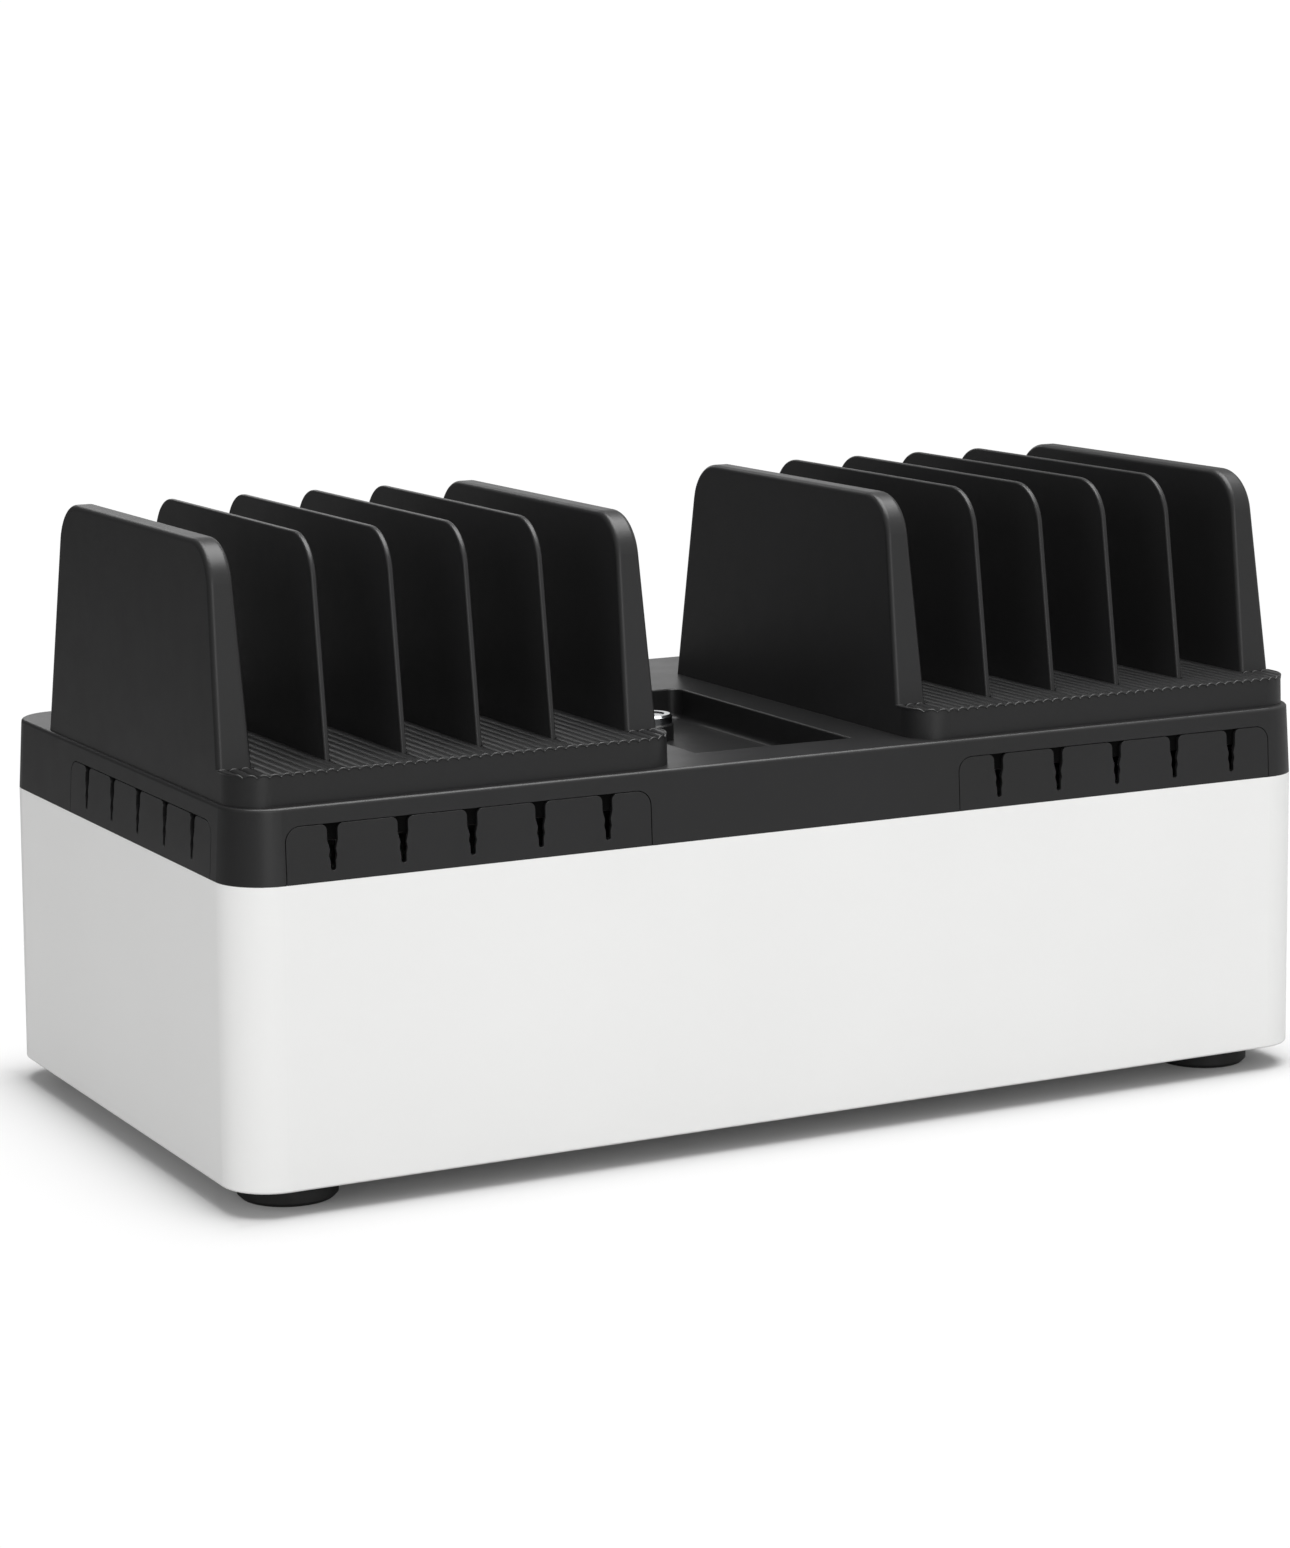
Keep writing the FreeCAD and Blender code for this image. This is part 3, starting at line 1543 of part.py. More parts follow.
def make_rocker():
    """Rocker with a dished face, tilted to its off side, on two short trunnions."""
    body = start_body("switch_rocker")
    half = d.rocker_width / 2
    face = d.rocker_crest + d.switch_bezel_thickness
    plan = flat_sketch(body, -(d.rocker_height / 2))
    add_outline(
        plan,
        [
            (-half, face),
            (0, face - d.rocker_dish),
            (half, face),
            (half, 0),
            (half / 2, -d.rocker_crest),
            (-half / 2, -d.rocker_crest),
            (-half, 0),
        ],
    )
    pad(body, plan, d.rocker_height)
    pin_end = d.rocker_height / 2 + d.rocker_gap + d.rocker_pin_length - d.rocker_pin_gap
    trunnion = flat_sketch(body, -pin_end)
    add_circle(trunnion, 0, 0, d.rocker_pin_radius)
    pad(body, trunnion, 2 * pin_end)
    body.Placement = FreeCAD.Placement(FreeCAD.Vector(), FreeCAD.Rotation(Z_AXIS, SIZES["rocker_tilt"]))
    bind(body, "Placement.Rotation.Angle", d.rocker_tilt)
    place(body, switch_middle_x, rocker_pivot_y(), panel_middle_z)
    return body


def make_breaker():
    """Reset breaker: flange on the panel, neck through it and a can behind."""
    body = start_body("breaker_body")
    bore = d.button_radius + d.button_gap
    seat = -d.panel_thickness - d.button_stem
    revolve(
        body,
        [
            (bore, d.breaker_flange_thickness),
            (d.breaker_flange_radius, d.breaker_flange_thickness),
            (d.breaker_flange_radius, 0),
            (d.breaker_neck_radius, 0),
            (d.breaker_neck_radius, -d.panel_thickness),
            (d.breaker_body_radius, -d.panel_thickness),
            (d.breaker_body_radius, -d.panel_thickness - d.breaker_body_depth),
            (0, -d.panel_thickness - d.breaker_body_depth),
            (0, seat - d.button_travel - d.button_gap),
            (bore, seat - d.button_travel - d.button_gap),
        ],
    )
    turn(body, X_AXIS, -90)
    place(body, breaker_middle_x, panel_face_y, panel_middle_z)
    return body


def make_button():
    """Push button with a crowned end, sliding in the breaker's bore."""
    body = start_body("reset_button")
    foot = -d.panel_thickness - d.button_stem
    revolve(
        body,
        [
            (0, foot),
            (d.button_radius, foot),
            (d.button_radius, d.button_stand - d.button_shoulder),
            (d.button_radius - d.button_shoulder, d.button_stand),
            (0, d.button_stand),
        ],
    )
    turn(body, X_AXIS, -90)
    place(body, breaker_middle_x, panel_face_y, panel_middle_z)
    return body


def terminal_screw_spots():
    z = block_top - d.terminal_lug / 2
    return [(block_left + d.terminal_lug / 2, z), (block_right - d.terminal_lug / 2, z)]


def make_terminal_cover():
    """Open-backed box over the live terminals, with two cable holes and two screw lugs."""
    body = start_body("terminal_cover")
    wall = d.terminal_wall
    lug = d.terminal_lug
    top = block_top - lug
    plan = flat_sketch(body, floor_z)
    add_rectangle(plan, block_left, block_right, terminal_front_y, panel_back_y)
    pad(body, plan, top - floor_z)
    room = front_sketch(body, panel_back_y)
    add_rectangle(room, block_left + wall, block_right - wall, floor_z + wall, top - wall)
    pocket(body, room, panel_back_y - terminal_front_y - wall, back=True)
    lugs = front_sketch(body, panel_back_y)
    add_rectangle(lugs, block_left, block_left + lug, top - wall, block_top)
    add_rectangle(lugs, block_right - lug, block_right, top - wall, block_top)
    pad(body, lugs, wall)
    holes = front_sketch(body, panel_back_y)
    for x, z in terminal_screw_spots():
        add_circle(holes, x, z, screw_hole)
    pocket(body, holes, wall, back=True)
    glands = front_sketch(body, terminal_front_y)
    for x in (rear_gland_x, front_gland_x):
        add_circle(glands, x, lead_z, d.lead_radius + d.lead_gap)
    pocket(body, glands, wall)
    return body


def make_lead(label, lead_x, strip_y):
    """Three-core lead: straight out of the terminal cover, one bend, straight into a strip's end."""
    x = lead_x.value
    end_x = strip_right.value
    bend = x - end_x
    z = lead_z.value
    start = FreeCAD.Vector(x, terminal_front_y.value + d.lead_end.value, z)
    turn_start = FreeCAD.Vector(x, strip_y.value + bend, z)
    turn_end = FreeCAD.Vector(end_x, strip_y.value, z)
    center = FreeCAD.Vector(end_x, strip_y.value + bend, z)
    middle = center + FreeCAD.Vector(1, -1, 0).normalize() * bend
    stop = FreeCAD.Vector(end_x - d.lead_end.value, strip_y.value, z)
    path = Part.Wire(
        [
            Part.LineSegment(start, turn_start).toShape(),
            Part.Arc(turn_start, middle, turn_end).toShape(),
            Part.LineSegment(turn_end, stop).toShape(),
        ]
    )
    ring = Part.Wire([Part.Circle(start, FreeCAD.Vector(0, -1, 0), d.lead_radius.value).toShape()])
    tube = path.makePipeShell([ring], True, False)
    lead = doc.addObject("Part::Feature", label)
    lead.Shape = tube
    lead.Label = label
    expected = math.pi * d.lead_radius.value**2 * path.Length
    print(label, "bend radius", round(bend, 2), "volume ratio", round(tube.Volume / expected, 4))
    return lead


# Screws


def make_screw(name, shank, head_radius, head_height, length):
    """Pan-head screw standing on its head, with a crossed recess; its head's underside is at zero."""
    body = start_body(name)
    revolve(
        body,
        [
            (0, -head_height),
            (head_radius - head_height / 3, -head_height),
            (head_radius, -head_height / 2),
            (head_radius, 0),
            (shank, 0),
            (shank, length - shank),
            (0, length),
        ],
    )
    cross = flat_sketch(body, -head_height)
    reach = head_radius / 2
    half = d.screw_slot_width / 2
    add_outline(
        cross,
        [
            (-reach, -half),
            (-half, -half),
            (-half, -reach),
            (half, -reach),
            (half, -half),
            (reach, -half),
            (reach, half),
            (half, half),
            (half, reach),
            (-half, reach),
            (-half, half),
            (-reach, half),
        ],
    )
    pocket(body, cross, d.screw_recess, back=True)
    return body


def standard_screw(name, length):
    return make_screw(name, d.screw_shank, d.screw_head_radius, d.screw_head_height, length)


def make_screws():
    groups = []
    foot_depth = d.foot_height - d.foot_recess_depth
    foot_length = foot_depth + d.tub_floor / 2 + d.foot_boss_height - d.screw_clearance
    foot_screw = make_screw(
        "foot_screw_master",
        d.foot_screw_shank,
        d.foot_screw_head_radius,
        d.foot_screw_head_height,
        foot_length,
    )
    groups.append(add_group("foot_screws", foot_screw, [(x, y, d.foot_recess_depth) for x, y in foot_spots]))

    seat_z = tub_bottom_z + d.counterbore_depth
    strip_length = strip_split_z - seat_z + d.screw_bite
    strip_screw = standard_screw("strip_screw_master", strip_length)
    groups.append(add_group("strip_screws", strip_screw, [(x, y, seat_z) for x, y in strip_columns]))

    post_screw = standard_screw("post_screw_master", floor_z - seat_z + d.screw_bite)
    groups.append(add_group("post_screws", post_screw, [(x, y, seat_z) for x, y in post_screw_spots]))

    keeper_screw = standard_screw("keeper_screw_master", d.keeper_thickness + d.screw_bite)
    keeper_spots = [(x, y, keeper_top_z) for x, y in post_screw_spots]
    groups.append(add_group("keeper_screws", keeper_screw, keeper_spots, X_AXIS, 180))

    rack_screw = standard_screw("rack_screw_master", d.lid_roof + d.screw_bite)
    under_roof = lid_top_z - d.lid_roof
    rack_spots = [(center + x, y, under_roof) for center in rack_places.values() for x, y in rack_bosses]
    groups.append(add_group("rack_screws", rack_screw, rack_spots))

    inlet_screw = standard_screw("inlet_screw_master", d.panel_thickness + d.inlet_flange_thickness)
    inlet_spots = [
        (inlet_middle_x + side * d.inlet_screw_reach, panel_face_y, panel_middle_z) for side in (-1, 1)
    ]
    groups.append(add_group("inlet_screws", inlet_screw, inlet_spots, X_AXIS, 90))

    cover_screw = standard_screw("cover_screw_master", d.terminal_wall + d.short_screw_bite)
    cover_spots = [(x, panel_back_y - d.terminal_wall, z) for x, z in terminal_screw_spots()]
    groups.append(add_group("cover_screws", cover_screw, cover_spots, X_AXIS, -90))

    cam_screw = standard_screw("cam_screw_master", d.screw_bite)
    groups.append(add_group("cam_screw", cam_screw, [(0, d.lock_y, cam_foot_z)]))

    groups.append(make_comb_screws())
    return groups


def make_comb_screws():
    """Short screws from inside, through each comb's tongue into the tub's wall."""
    screw = standard_screw("comb_screw_master", d.tongue_thickness + d.tongue_gap + d.short_screw_bite)
    depth = d.tub_wall + d.tongue_gap + d.tongue_thickness
    z = seam_z - d.comb_screw_drop
    reach = d.comb_screw_reach
    turned = []
    middles = (-comb_middle_x, comb_middle_x)
    front = [(x + side * reach, depth - half_depth, z) for x in middles for side in (-1, 1)]
    turned.append((front, X_AXIS, 90))
    left = [(depth - half_length, d.end_comb_y + side * reach, z) for side in (-1, 1)]
    turned.append((left, FreeCAD.Vector(0, 1, 0), -90))
    right = [(half_length - depth, d.end_comb_y + side * reach, z) for side in (-1, 1)]
    turned.append((right, FreeCAD.Vector(0, 1, 0), 90))
    sides = [add_group("comb_screw_side", screw, spots, axis, degrees) for spots, axis, degrees in turned]
    group = doc.addObject("Part::Compound", "comb_screws")
    group.Links = [copy for side in sides for copy in side.Links]
    group.Label = "comb_screws"
    return group


# The whole object


def make_all():
    nodes.append(make_tub())
    for (x, y), name in zip(foot_spots, ("front_left", "front_right", "rear_left", "rear_right")):
        nodes.append(make_foot(f"foot_{name}", x, y))
    for label, (x, y, degrees) in comb_places.items():
        nodes.append(make_comb(label, x, y, degrees))
    nodes.append(make_lid())
    for side, center in rack_places.items():
        nodes.append(make_rack(f"{side}_rack", center))
        for index, shift in enumerate(divider_xs(), start=1):
            nodes.append(make_divider(f"{side}_divider_{index}", center + shift))
    nodes.extend([make_lock_skirt(), make_lock_barrel(), make_lock_nut()])
    nodes.extend([make_lock_plug(), make_lock_cam(), make_lock_post(), make_keeper()])
    for name, y, lead_x in (
        ("front", front_strip_middle_y, front_gland_x),
        ("rear", rear_strip_middle_y, rear_gland_x),
    ):
        nodes.append(make_strip_base(f"{name}_strip_base", y))
        nodes.append(make_strip_cover(f"{name}_strip_cover", y))
        nodes.append(make_bar(f"{name}_live_bar", y, -d.blade_spacing / 2, -d.blade_shift))
        nodes.append(make_bar(f"{name}_neutral_bar", y, d.blade_spacing / 2, -d.blade_shift))
        nodes.append(make_bar(f"{name}_earth_bar", y, as_size(0), d.ground_shift))
        nodes.append(make_lead(f"{name}_strip_lead", lead_x, y))
    nodes.extend([make_inlet(), make_pins(), make_switch_frame(), make_rocker()])
    nodes.extend([make_breaker(), make_button(), make_terminal_cover()])
    nodes.extend(make_screws())


def check_and_write():
    doc.recompute()
    for thing in doc.Objects:
        if "Invalid" in thing.State or "Error" in thing.State:
            raise RuntimeError(f"{thing.Label} failed: {thing.State}")
    for node in nodes:
        if node.Shape.isNull() or not node.Shape.isValid():
            raise RuntimeError(f"{node.Label} has no valid shape")
    os.makedirs("parts", exist_ok=True)
    for node in nodes:
        node.Shape.exportStep(os.path.join("parts", f"{node.Label}.step"))
        print(node.Label, len(node.Shape.Solids), "solids", round(node.Shape.Volume / 1000, 2), "cm3")
    print(len(nodes), "nodes")


make_all()
check_and_write()
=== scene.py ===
# %% [markdown]
# # Charging station organizer
# A white tub hides power strips and chargers. A black lid with two device racks drops over it, cords come
# out through slotted combs in the rim, and a key lock in a sunk well holds the lid down.
# The measured solids come first, because every finish and every added piece is laid on them.

# %% Load the measured parts
import json
import math

import bpy
import numpy as np
from mathutils import Matrix, Vector


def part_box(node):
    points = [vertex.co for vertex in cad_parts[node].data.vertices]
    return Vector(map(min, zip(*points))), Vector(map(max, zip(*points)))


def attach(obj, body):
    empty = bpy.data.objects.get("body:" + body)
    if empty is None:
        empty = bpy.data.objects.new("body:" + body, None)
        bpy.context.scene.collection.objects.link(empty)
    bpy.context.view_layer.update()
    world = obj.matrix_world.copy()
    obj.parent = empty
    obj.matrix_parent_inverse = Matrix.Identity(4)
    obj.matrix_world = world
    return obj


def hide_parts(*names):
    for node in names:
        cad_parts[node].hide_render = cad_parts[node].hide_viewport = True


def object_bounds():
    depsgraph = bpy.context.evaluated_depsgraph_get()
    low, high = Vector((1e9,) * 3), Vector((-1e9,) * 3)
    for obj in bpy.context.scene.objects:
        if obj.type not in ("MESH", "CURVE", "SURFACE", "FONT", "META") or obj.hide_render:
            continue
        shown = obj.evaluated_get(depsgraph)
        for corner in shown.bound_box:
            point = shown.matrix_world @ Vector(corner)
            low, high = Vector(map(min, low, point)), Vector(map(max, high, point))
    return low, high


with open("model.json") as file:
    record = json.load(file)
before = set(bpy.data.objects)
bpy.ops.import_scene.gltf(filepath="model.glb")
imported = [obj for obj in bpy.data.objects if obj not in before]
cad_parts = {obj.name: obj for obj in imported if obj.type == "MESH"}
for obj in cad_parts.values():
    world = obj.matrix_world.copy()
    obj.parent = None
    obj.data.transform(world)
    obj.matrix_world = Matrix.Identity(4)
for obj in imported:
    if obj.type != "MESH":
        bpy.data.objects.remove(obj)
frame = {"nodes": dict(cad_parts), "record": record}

PARTS = frame["nodes"]
CAD_BOX = [list(corner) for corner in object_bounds()]
MM = 0.001
print("parts", len(PARTS), "box", CAD_BOX)

# %% [markdown]
# ## Colours and nodes
# Colours are picked as sRGB hex values, the way a paint chart gives them, but a shader adds up light, so it
# wants linear numbers. One function does that for every finish. A second one adds a shader node, sets its
# properties and joins its sockets, so that each material below reads as a list of what it is made of.

# %% Helpers for materials


def linear(hex_colour):
    """sRGB hex to linear RGBA: a channel c is c / 12.92 up to 0.04045, else ((c + 0.055) / 1.055) ** 2.4."""
    channels = np.array([int(hex_colour[place:place + 2], 16) for place in (1, 3, 5)]) / 255
    bright = ((channels + 0.055) / 1.055) ** 2.4
    return (*np.where(channels <= 0.04045, channels / 12.92, bright).tolist(), 1.0)


def add_node(tree, kind, sockets=None, **settings):
    """One node: settings are its properties, sockets its inputs, each a value or another node's output."""
    node = tree.nodes.new(kind)
    for name, value in settings.items():
        setattr(node, name, value)
    for socket, value in (sockets or {}).items():
        if isinstance(value, bpy.types.NodeSocket):
            tree.links.new(value, node.inputs[socket])
        else:
            node.inputs[socket].default_value = value
    return node


def start_finish(name, **constants):
    """A material whose shader sockets hold the constants; returns it with its tree and shader."""
    material = bpy.data.materials.new(name)
    material.use_nodes = True
    shader = material.node_tree.nodes["Principled BSDF"]
    for socket, value in constants.items():
        shader.inputs[socket].default_value = value
    return material, material.node_tree, shader


def per_metre(size_mm):
    """A noise texture's scale for features of this size: how many fit in one metre."""
    return 1000 / size_mm


print("half grey is", round(linear("#808080")[0], 3), "in linear light")

# %% [markdown]
# ## Moulded plastics
# The tub and the lid are injection-moulded ABS. Their moulds are spark eroded, which leaves a fine even grit:
# the white reads as a soft satin and the black as charcoal that turns pale where it mirrors the room at a
# glancing angle. Real grit is about 0.1 mm, too fine to show here, so it is drawn at several times that.
# Three noises do the work: the grit gives the bump, a middle one varies the gloss as uneven mould wear does,
# and a broad one shifts the colour by a trace, as flow in the mould does.

# %% A moulded plastic from its grit, flow and gloss
# A noise texture rarely leaves this range, so its two ends stand for the darkest and the lightest spots.
NOISE_LOW, NOISE_HIGH = 0.3, 0.7
MOULD_WEAR_MM = 14
GRIT_STRENGTH = 0.35


def moulded_plastic(name, tones, gloss, grit_mm, grit_depth_mm, ior, flow_mm=90):
    """The flow noise runs through the two tones, wear through the gloss range, and grit gives the bump."""
    material, tree, shader = start_finish(name, IOR=ior)
    place = add_node(tree, "ShaderNodeTexCoord").outputs["Object"]
    flow = add_node(tree, "ShaderNodeTexNoise", {"Vector": place, "Scale": per_metre(flow_mm), "Detail": 2.0})
    tone = add_node(tree, "ShaderNodeValToRGB", {"Fac": flow.outputs["Fac"]})
    for stop, position, colour in zip(tone.color_ramp.elements, (NOISE_LOW, NOISE_HIGH), tones):
        stop.position = position
        stop.color = linear(colour)
    wear = add_node(
        tree, "ShaderNodeTexNoise", {"Vector": place, "Scale": per_metre(MOULD_WEAR_MM), "Detail": 4.0}
    )
    sheen = add_node(
        tree,
        "ShaderNodeMapRange",
        {
            "Value": wear.outputs["Fac"],
            "From Min": NOISE_LOW,
            "From Max": NOISE_HIGH,
            "To Min": gloss[0],
            "To Max": gloss[1],
        },
    )
    grit = add_node(tree, "ShaderNodeTexNoise", {"Vector": place, "Scale": per_metre(grit_mm), "Detail": 3.0})
    bump = add_node(
        tree,
        "ShaderNodeBump",
        {"Height": grit.outputs["Fac"], "Strength": GRIT_STRENGTH, "Distance": grit_depth_mm * MM},
    )
    tree.links.new(tone.outputs["Color"], shader.inputs["Base Color"])
    tree.links.new(sheen.outputs["Result"], shader.inputs["Roughness"])
    tree.links.new(bump.outputs["Normal"], shader.inputs["Normal"])
    return material


# White ABS from a textured mould: an even pale satin with no hot spot anywhere on it.
white_abs = moulded_plastic(
    "moulded_white_abs",
    ("#EBEBEA", "#EDEDEC"),
    gloss=(0.42, 0.48),
    grit_mm=0.9,
    grit_depth_mm=0.03,
    ior=1.46,
)
# Black ABS from a finer mould: charcoal faces, and bright thin lines on every rounded edge.
black_abs = moulded_plastic(
    "moulded_black_abs",
    ("#171717", "#19191A"),
    gloss=(0.38, 0.42),
    grit_mm=0.8,
    grit_depth_mm=0.02,
    ior=1.45,
)
# Grey ABS of the outlet strips: a duller, rougher grey that tells them apart from the lid.
strip_abs = moulded_plastic(
    "moulded_grey_abs",
    ("#2A2B2D", "#303133"),
    gloss=(0.45, 0.58),
    grit_mm=0.7,
    grit_depth_mm=0.05,
    ior=1.46,
)
print("plastics", white_abs.name, black_abs.name, strip_abs.name)

# %% [markdown]
# ## Rubber, jackets and the red switch
# The feet are soft black rubber, the inner leads have a PVC jacket, and the rocker and the reset button are
# red polycarbonate. They are moulded or extruded too, so the same recipe serves, with other grit and gloss.

# %% Rubber, PVC and polycarbonate
# Moulded rubber: dull, slightly grey from bloom and moulding powder, with no clear mirror image.
foot_rubber = moulded_plastic(
    "moulded_foot_rubber",
    ("#161616", "#1E1E1E"),
    gloss=(0.62, 0.8),
    grit_mm=1.2,
    grit_depth_mm=0.1,
    ior=1.5,
    flow_mm=12,
)
# Extruded PVC: smoother than rubber, with a soft shine along the lead.
lead_pvc = moulded_plastic(
    "extruded_lead_pvc",
    ("#141415", "#19191A"),
    gloss=(0.4, 0.5),
    grit_mm=2.5,
    grit_depth_mm=0.05,
    ior=1.53,
    flow_mm=30,
)
# Polycarbonate from a polished mould: deep red with sharp, bright reflections.
red_pc = moulded_plastic(
    "moulded_red_polycarbonate",
    ("#9E1712", "#AB1C15"),
    gloss=(0.14, 0.22),
    grit_mm=3.0,
    grit_depth_mm=0.01,
    ior=1.58,
)
print("soft and glossy plastics", foot_rubber.name, lead_pvc.name, red_pc.name)

# %% [markdown]
# ## Metals
# The lock is turned brass under bright chrome, the screws, cam and keeper are steel under dull zinc, and the
# contact bars are bare rolled brass. What tells metals apart is less their colour than their working marks,
# so each has its own mottle, and fine scratches that are stretched along the way it was worked.

# %% A metal from its mottle and its scratches
SCRATCH_MM = 0.5
SCRATCH_STRENGTH = 0.3


def bare_metal(name, tones, gloss, mottle_mm, stretch, scratch_depth_mm):
    """The mottle runs through the two tones; a noise stretched along the work gives gloss and scratches."""
    material, tree, shader = start_finish(name, Metallic=1.0)
    place = add_node(tree, "ShaderNodeTexCoord").outputs["Object"]
    along = add_node(tree, "ShaderNodeMapping", {"Vector": place, "Scale": stretch}).outputs["Vector"]
    mottle = add_node(
        tree, "ShaderNodeTexNoise", {"Vector": place, "Scale": per_metre(mottle_mm), "Detail": 3.0}
    )
    tone = add_node(tree, "ShaderNodeValToRGB", {"Fac": mottle.outputs["Fac"]})
    for stop, position, colour in zip(tone.color_ramp.elements, (NOISE_LOW, NOISE_HIGH), tones):
        stop.position = position
        stop.color = linear(colour)
    scratch = add_node(
        tree, "ShaderNodeTexNoise", {"Vector": along, "Scale": per_metre(SCRATCH_MM), "Detail": 2.0}
    )
    polish = add_node(
        tree,
        "ShaderNodeMapRange",
        {
            "Value": scratch.outputs["Fac"],
            "From Min": NOISE_LOW,
            "From Max": NOISE_HIGH,
            "To Min": gloss[0],
            "To Max": gloss[1],
        },
    )
    bump = add_node(
        tree,
        "ShaderNodeBump",
        {"Height": scratch.outputs["Fac"], "Strength": SCRATCH_STRENGTH, "Distance": scratch_depth_mm * MM},
    )
    tree.links.new(tone.outputs["Color"], shader.inputs["Base Color"])
    tree.links.new(polish.outputs["Result"], shader.inputs["Roughness"])
    tree.links.new(bump.outputs["Normal"], shader.inputs["Normal"])
    return material


# Chrome over turned brass: nearly a mirror, broken up by very fine marks from the lathe.
chrome = bare_metal(
    "turned_chrome",
    ("#A4A6A9", "#AEB0B2"),
    gloss=(0.14, 0.22),
    mottle_mm=8,
    stretch=(0.15, 0.15, 1.0),
    scratch_depth_mm=0.004,
)
# Zinc on steel: a pale grey with a faint crystalline mottle and blurred reflections.
zinc = bare_metal(
    "zinc_plated_steel",
    ("#A9ABAD", "#BBBDBE"),
    gloss=(0.3, 0.42),
    mottle_mm=1.5,
    stretch=(1.0, 1.0, 1.0),
    scratch_depth_mm=0.01,
)
# Rolled brass strip: warm yellow, with long scratches that run along it.
brass = bare_metal(
    "rolled_contact_brass",
    ("#B8934A", "#C7A256"),
    gloss=(0.2, 0.32),
    mottle_mm=5,
    stretch=(0.05, 1.0, 1.0),
    scratch_depth_mm=0.008,
)
print("metals", chrome.name, zinc.name, brass.name)

# %% [markdown]
# ## Dress the measured parts
# The record already says which stuff each part is made of, so one table from stuff to finish dresses all of
# them, and a part that is added later is dressed too.

# %% Give every part its finish
FINISHES = {
    "white_plastic": white_abs,
    "black_plastic": black_abs,
    "strip_plastic": strip_abs,
    "foot_rubber": foot_rubber,
    "lock_chrome": chrome,
    "zinc_steel": zinc,
    "contact_brass": brass,
    "red_plastic": red_pc,
    "cord_jacket": lead_pvc,
}
for subpart in frame["record"]["subparts"]:
    part = PARTS[subpart["node"]]
    part.data.materials.clear()
    part.data.materials.append(FINISHES[subpart["material_slot"]])

# %% [markdown]
# ## Rolled edges on the combs
# A moulded comb never has a knife edge: its rim and the mouths of its slots are rolled over by about half a
# millimetre, and that roll is what draws a thin pale line beside each dark gap. The measured combs are
# sharp, so each one is copied, its loose triangles are merged and its flat ones joined, and a bevel rolls
# every edge. Drawing the line with colour would be wrong as soon as the light moves.

# %% Roll the edges of the four combs
# Each comb with the way it faces.
COMBS = {
    "comb_front_left": (0.0, -1.0, 0.0),
    "comb_front_right": (0.0, -1.0, 0.0),
    "comb_left_end": (-1.0, 0.0, 0.0),
    "comb_right_end": (1.0, 0.0, 0.0),
}
COMB_ROLL = 0.45 * MM
MERGE_REACH = 0.001 * MM
FLAT_ANGLE = math.radians(0.1)
SHARP_ANGLE = math.radians(28)


def roll_edges(node, radius):
    """A copy of a measured part, merged and cleaned, with every edge past the sharp angle rounded."""
    piece = bpy.data.objects.new(node + "_rolled", PARTS[node].data.copy())
    bpy.context.collection.objects.link(piece)
    merge = piece.modifiers.new("merge", "WELD")
    merge.merge_threshold = MERGE_REACH
    join = piece.modifiers.new("join", "DECIMATE")
    join.decimate_type = "DISSOLVE"
    join.angle_limit = FLAT_ANGLE
    roll = piece.modifiers.new("roll", "BEVEL")
    roll.width = radius
    roll.segments = 3
    roll.angle_limit = SHARP_ANGLE
    roll.harden_normals = True
    return piece


for node in COMBS:
    comb = roll_edges(node, COMB_ROLL)
    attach(comb, "base")
    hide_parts(node)
print("rolled", len(COMBS), "combs by", COMB_ROLL, "m")

# %% [markdown]
# ## Beads along the ridges
# The racks' ridged top ends at the front in a scalloped edge, and the mould rounds that edge into a small
# bead. It is less than a millimetre thick, yet it is the brightest line on the rack, because somewhere on
# its round a bead always faces the light. A bevel can't follow so thin a scallop cleanly, so the edge is
# worked out from the ridges' own sizes, and a circle carried along it makes the bead.

# %% The ridged top as a formula
# All sizes here are in millimetres; across is measured from a rack's middle.
RIDGE_PITCH = 4.65
RIDGE_RADIUS = 2.4815
CREST_FLAT = 0.4
LAST_VALLEY = 92.8
PLINTH_TOP = 171.9


def ridge_height(across):
    """Crest height less an arc's drop: its radius minus the root of radius squared less distance squared."""
    from_crest = np.abs((across + RIDGE_PITCH / 2) % RIDGE_PITCH - RIDGE_PITCH / 2)
    past_flat = np.clip(from_crest - CREST_FLAT / 2, 0, None)
    drop = RIDGE_RADIUS - np.sqrt(RIDGE_RADIUS**2 - past_flat**2)
    return PLINTH_TOP - np.where(np.abs(across) > LAST_VALLEY, 0, drop)


print("ridge crest and valley at", ridge_height(np.array([0, RIDGE_PITCH / 2])), "mm")

# %% Where the ridged top ends
PLINTH_FRONT = -126.3
PLINTH_HALF = 95.15
PLINTH_CORNER = 15.0
PLATE_FRONT = -107.6
PLATE_INNER = 80.65
SIDE_POINTS, CORNER_POINTS, FRONT_POINTS, FOOT_POINTS = 8, 90, 480, 90


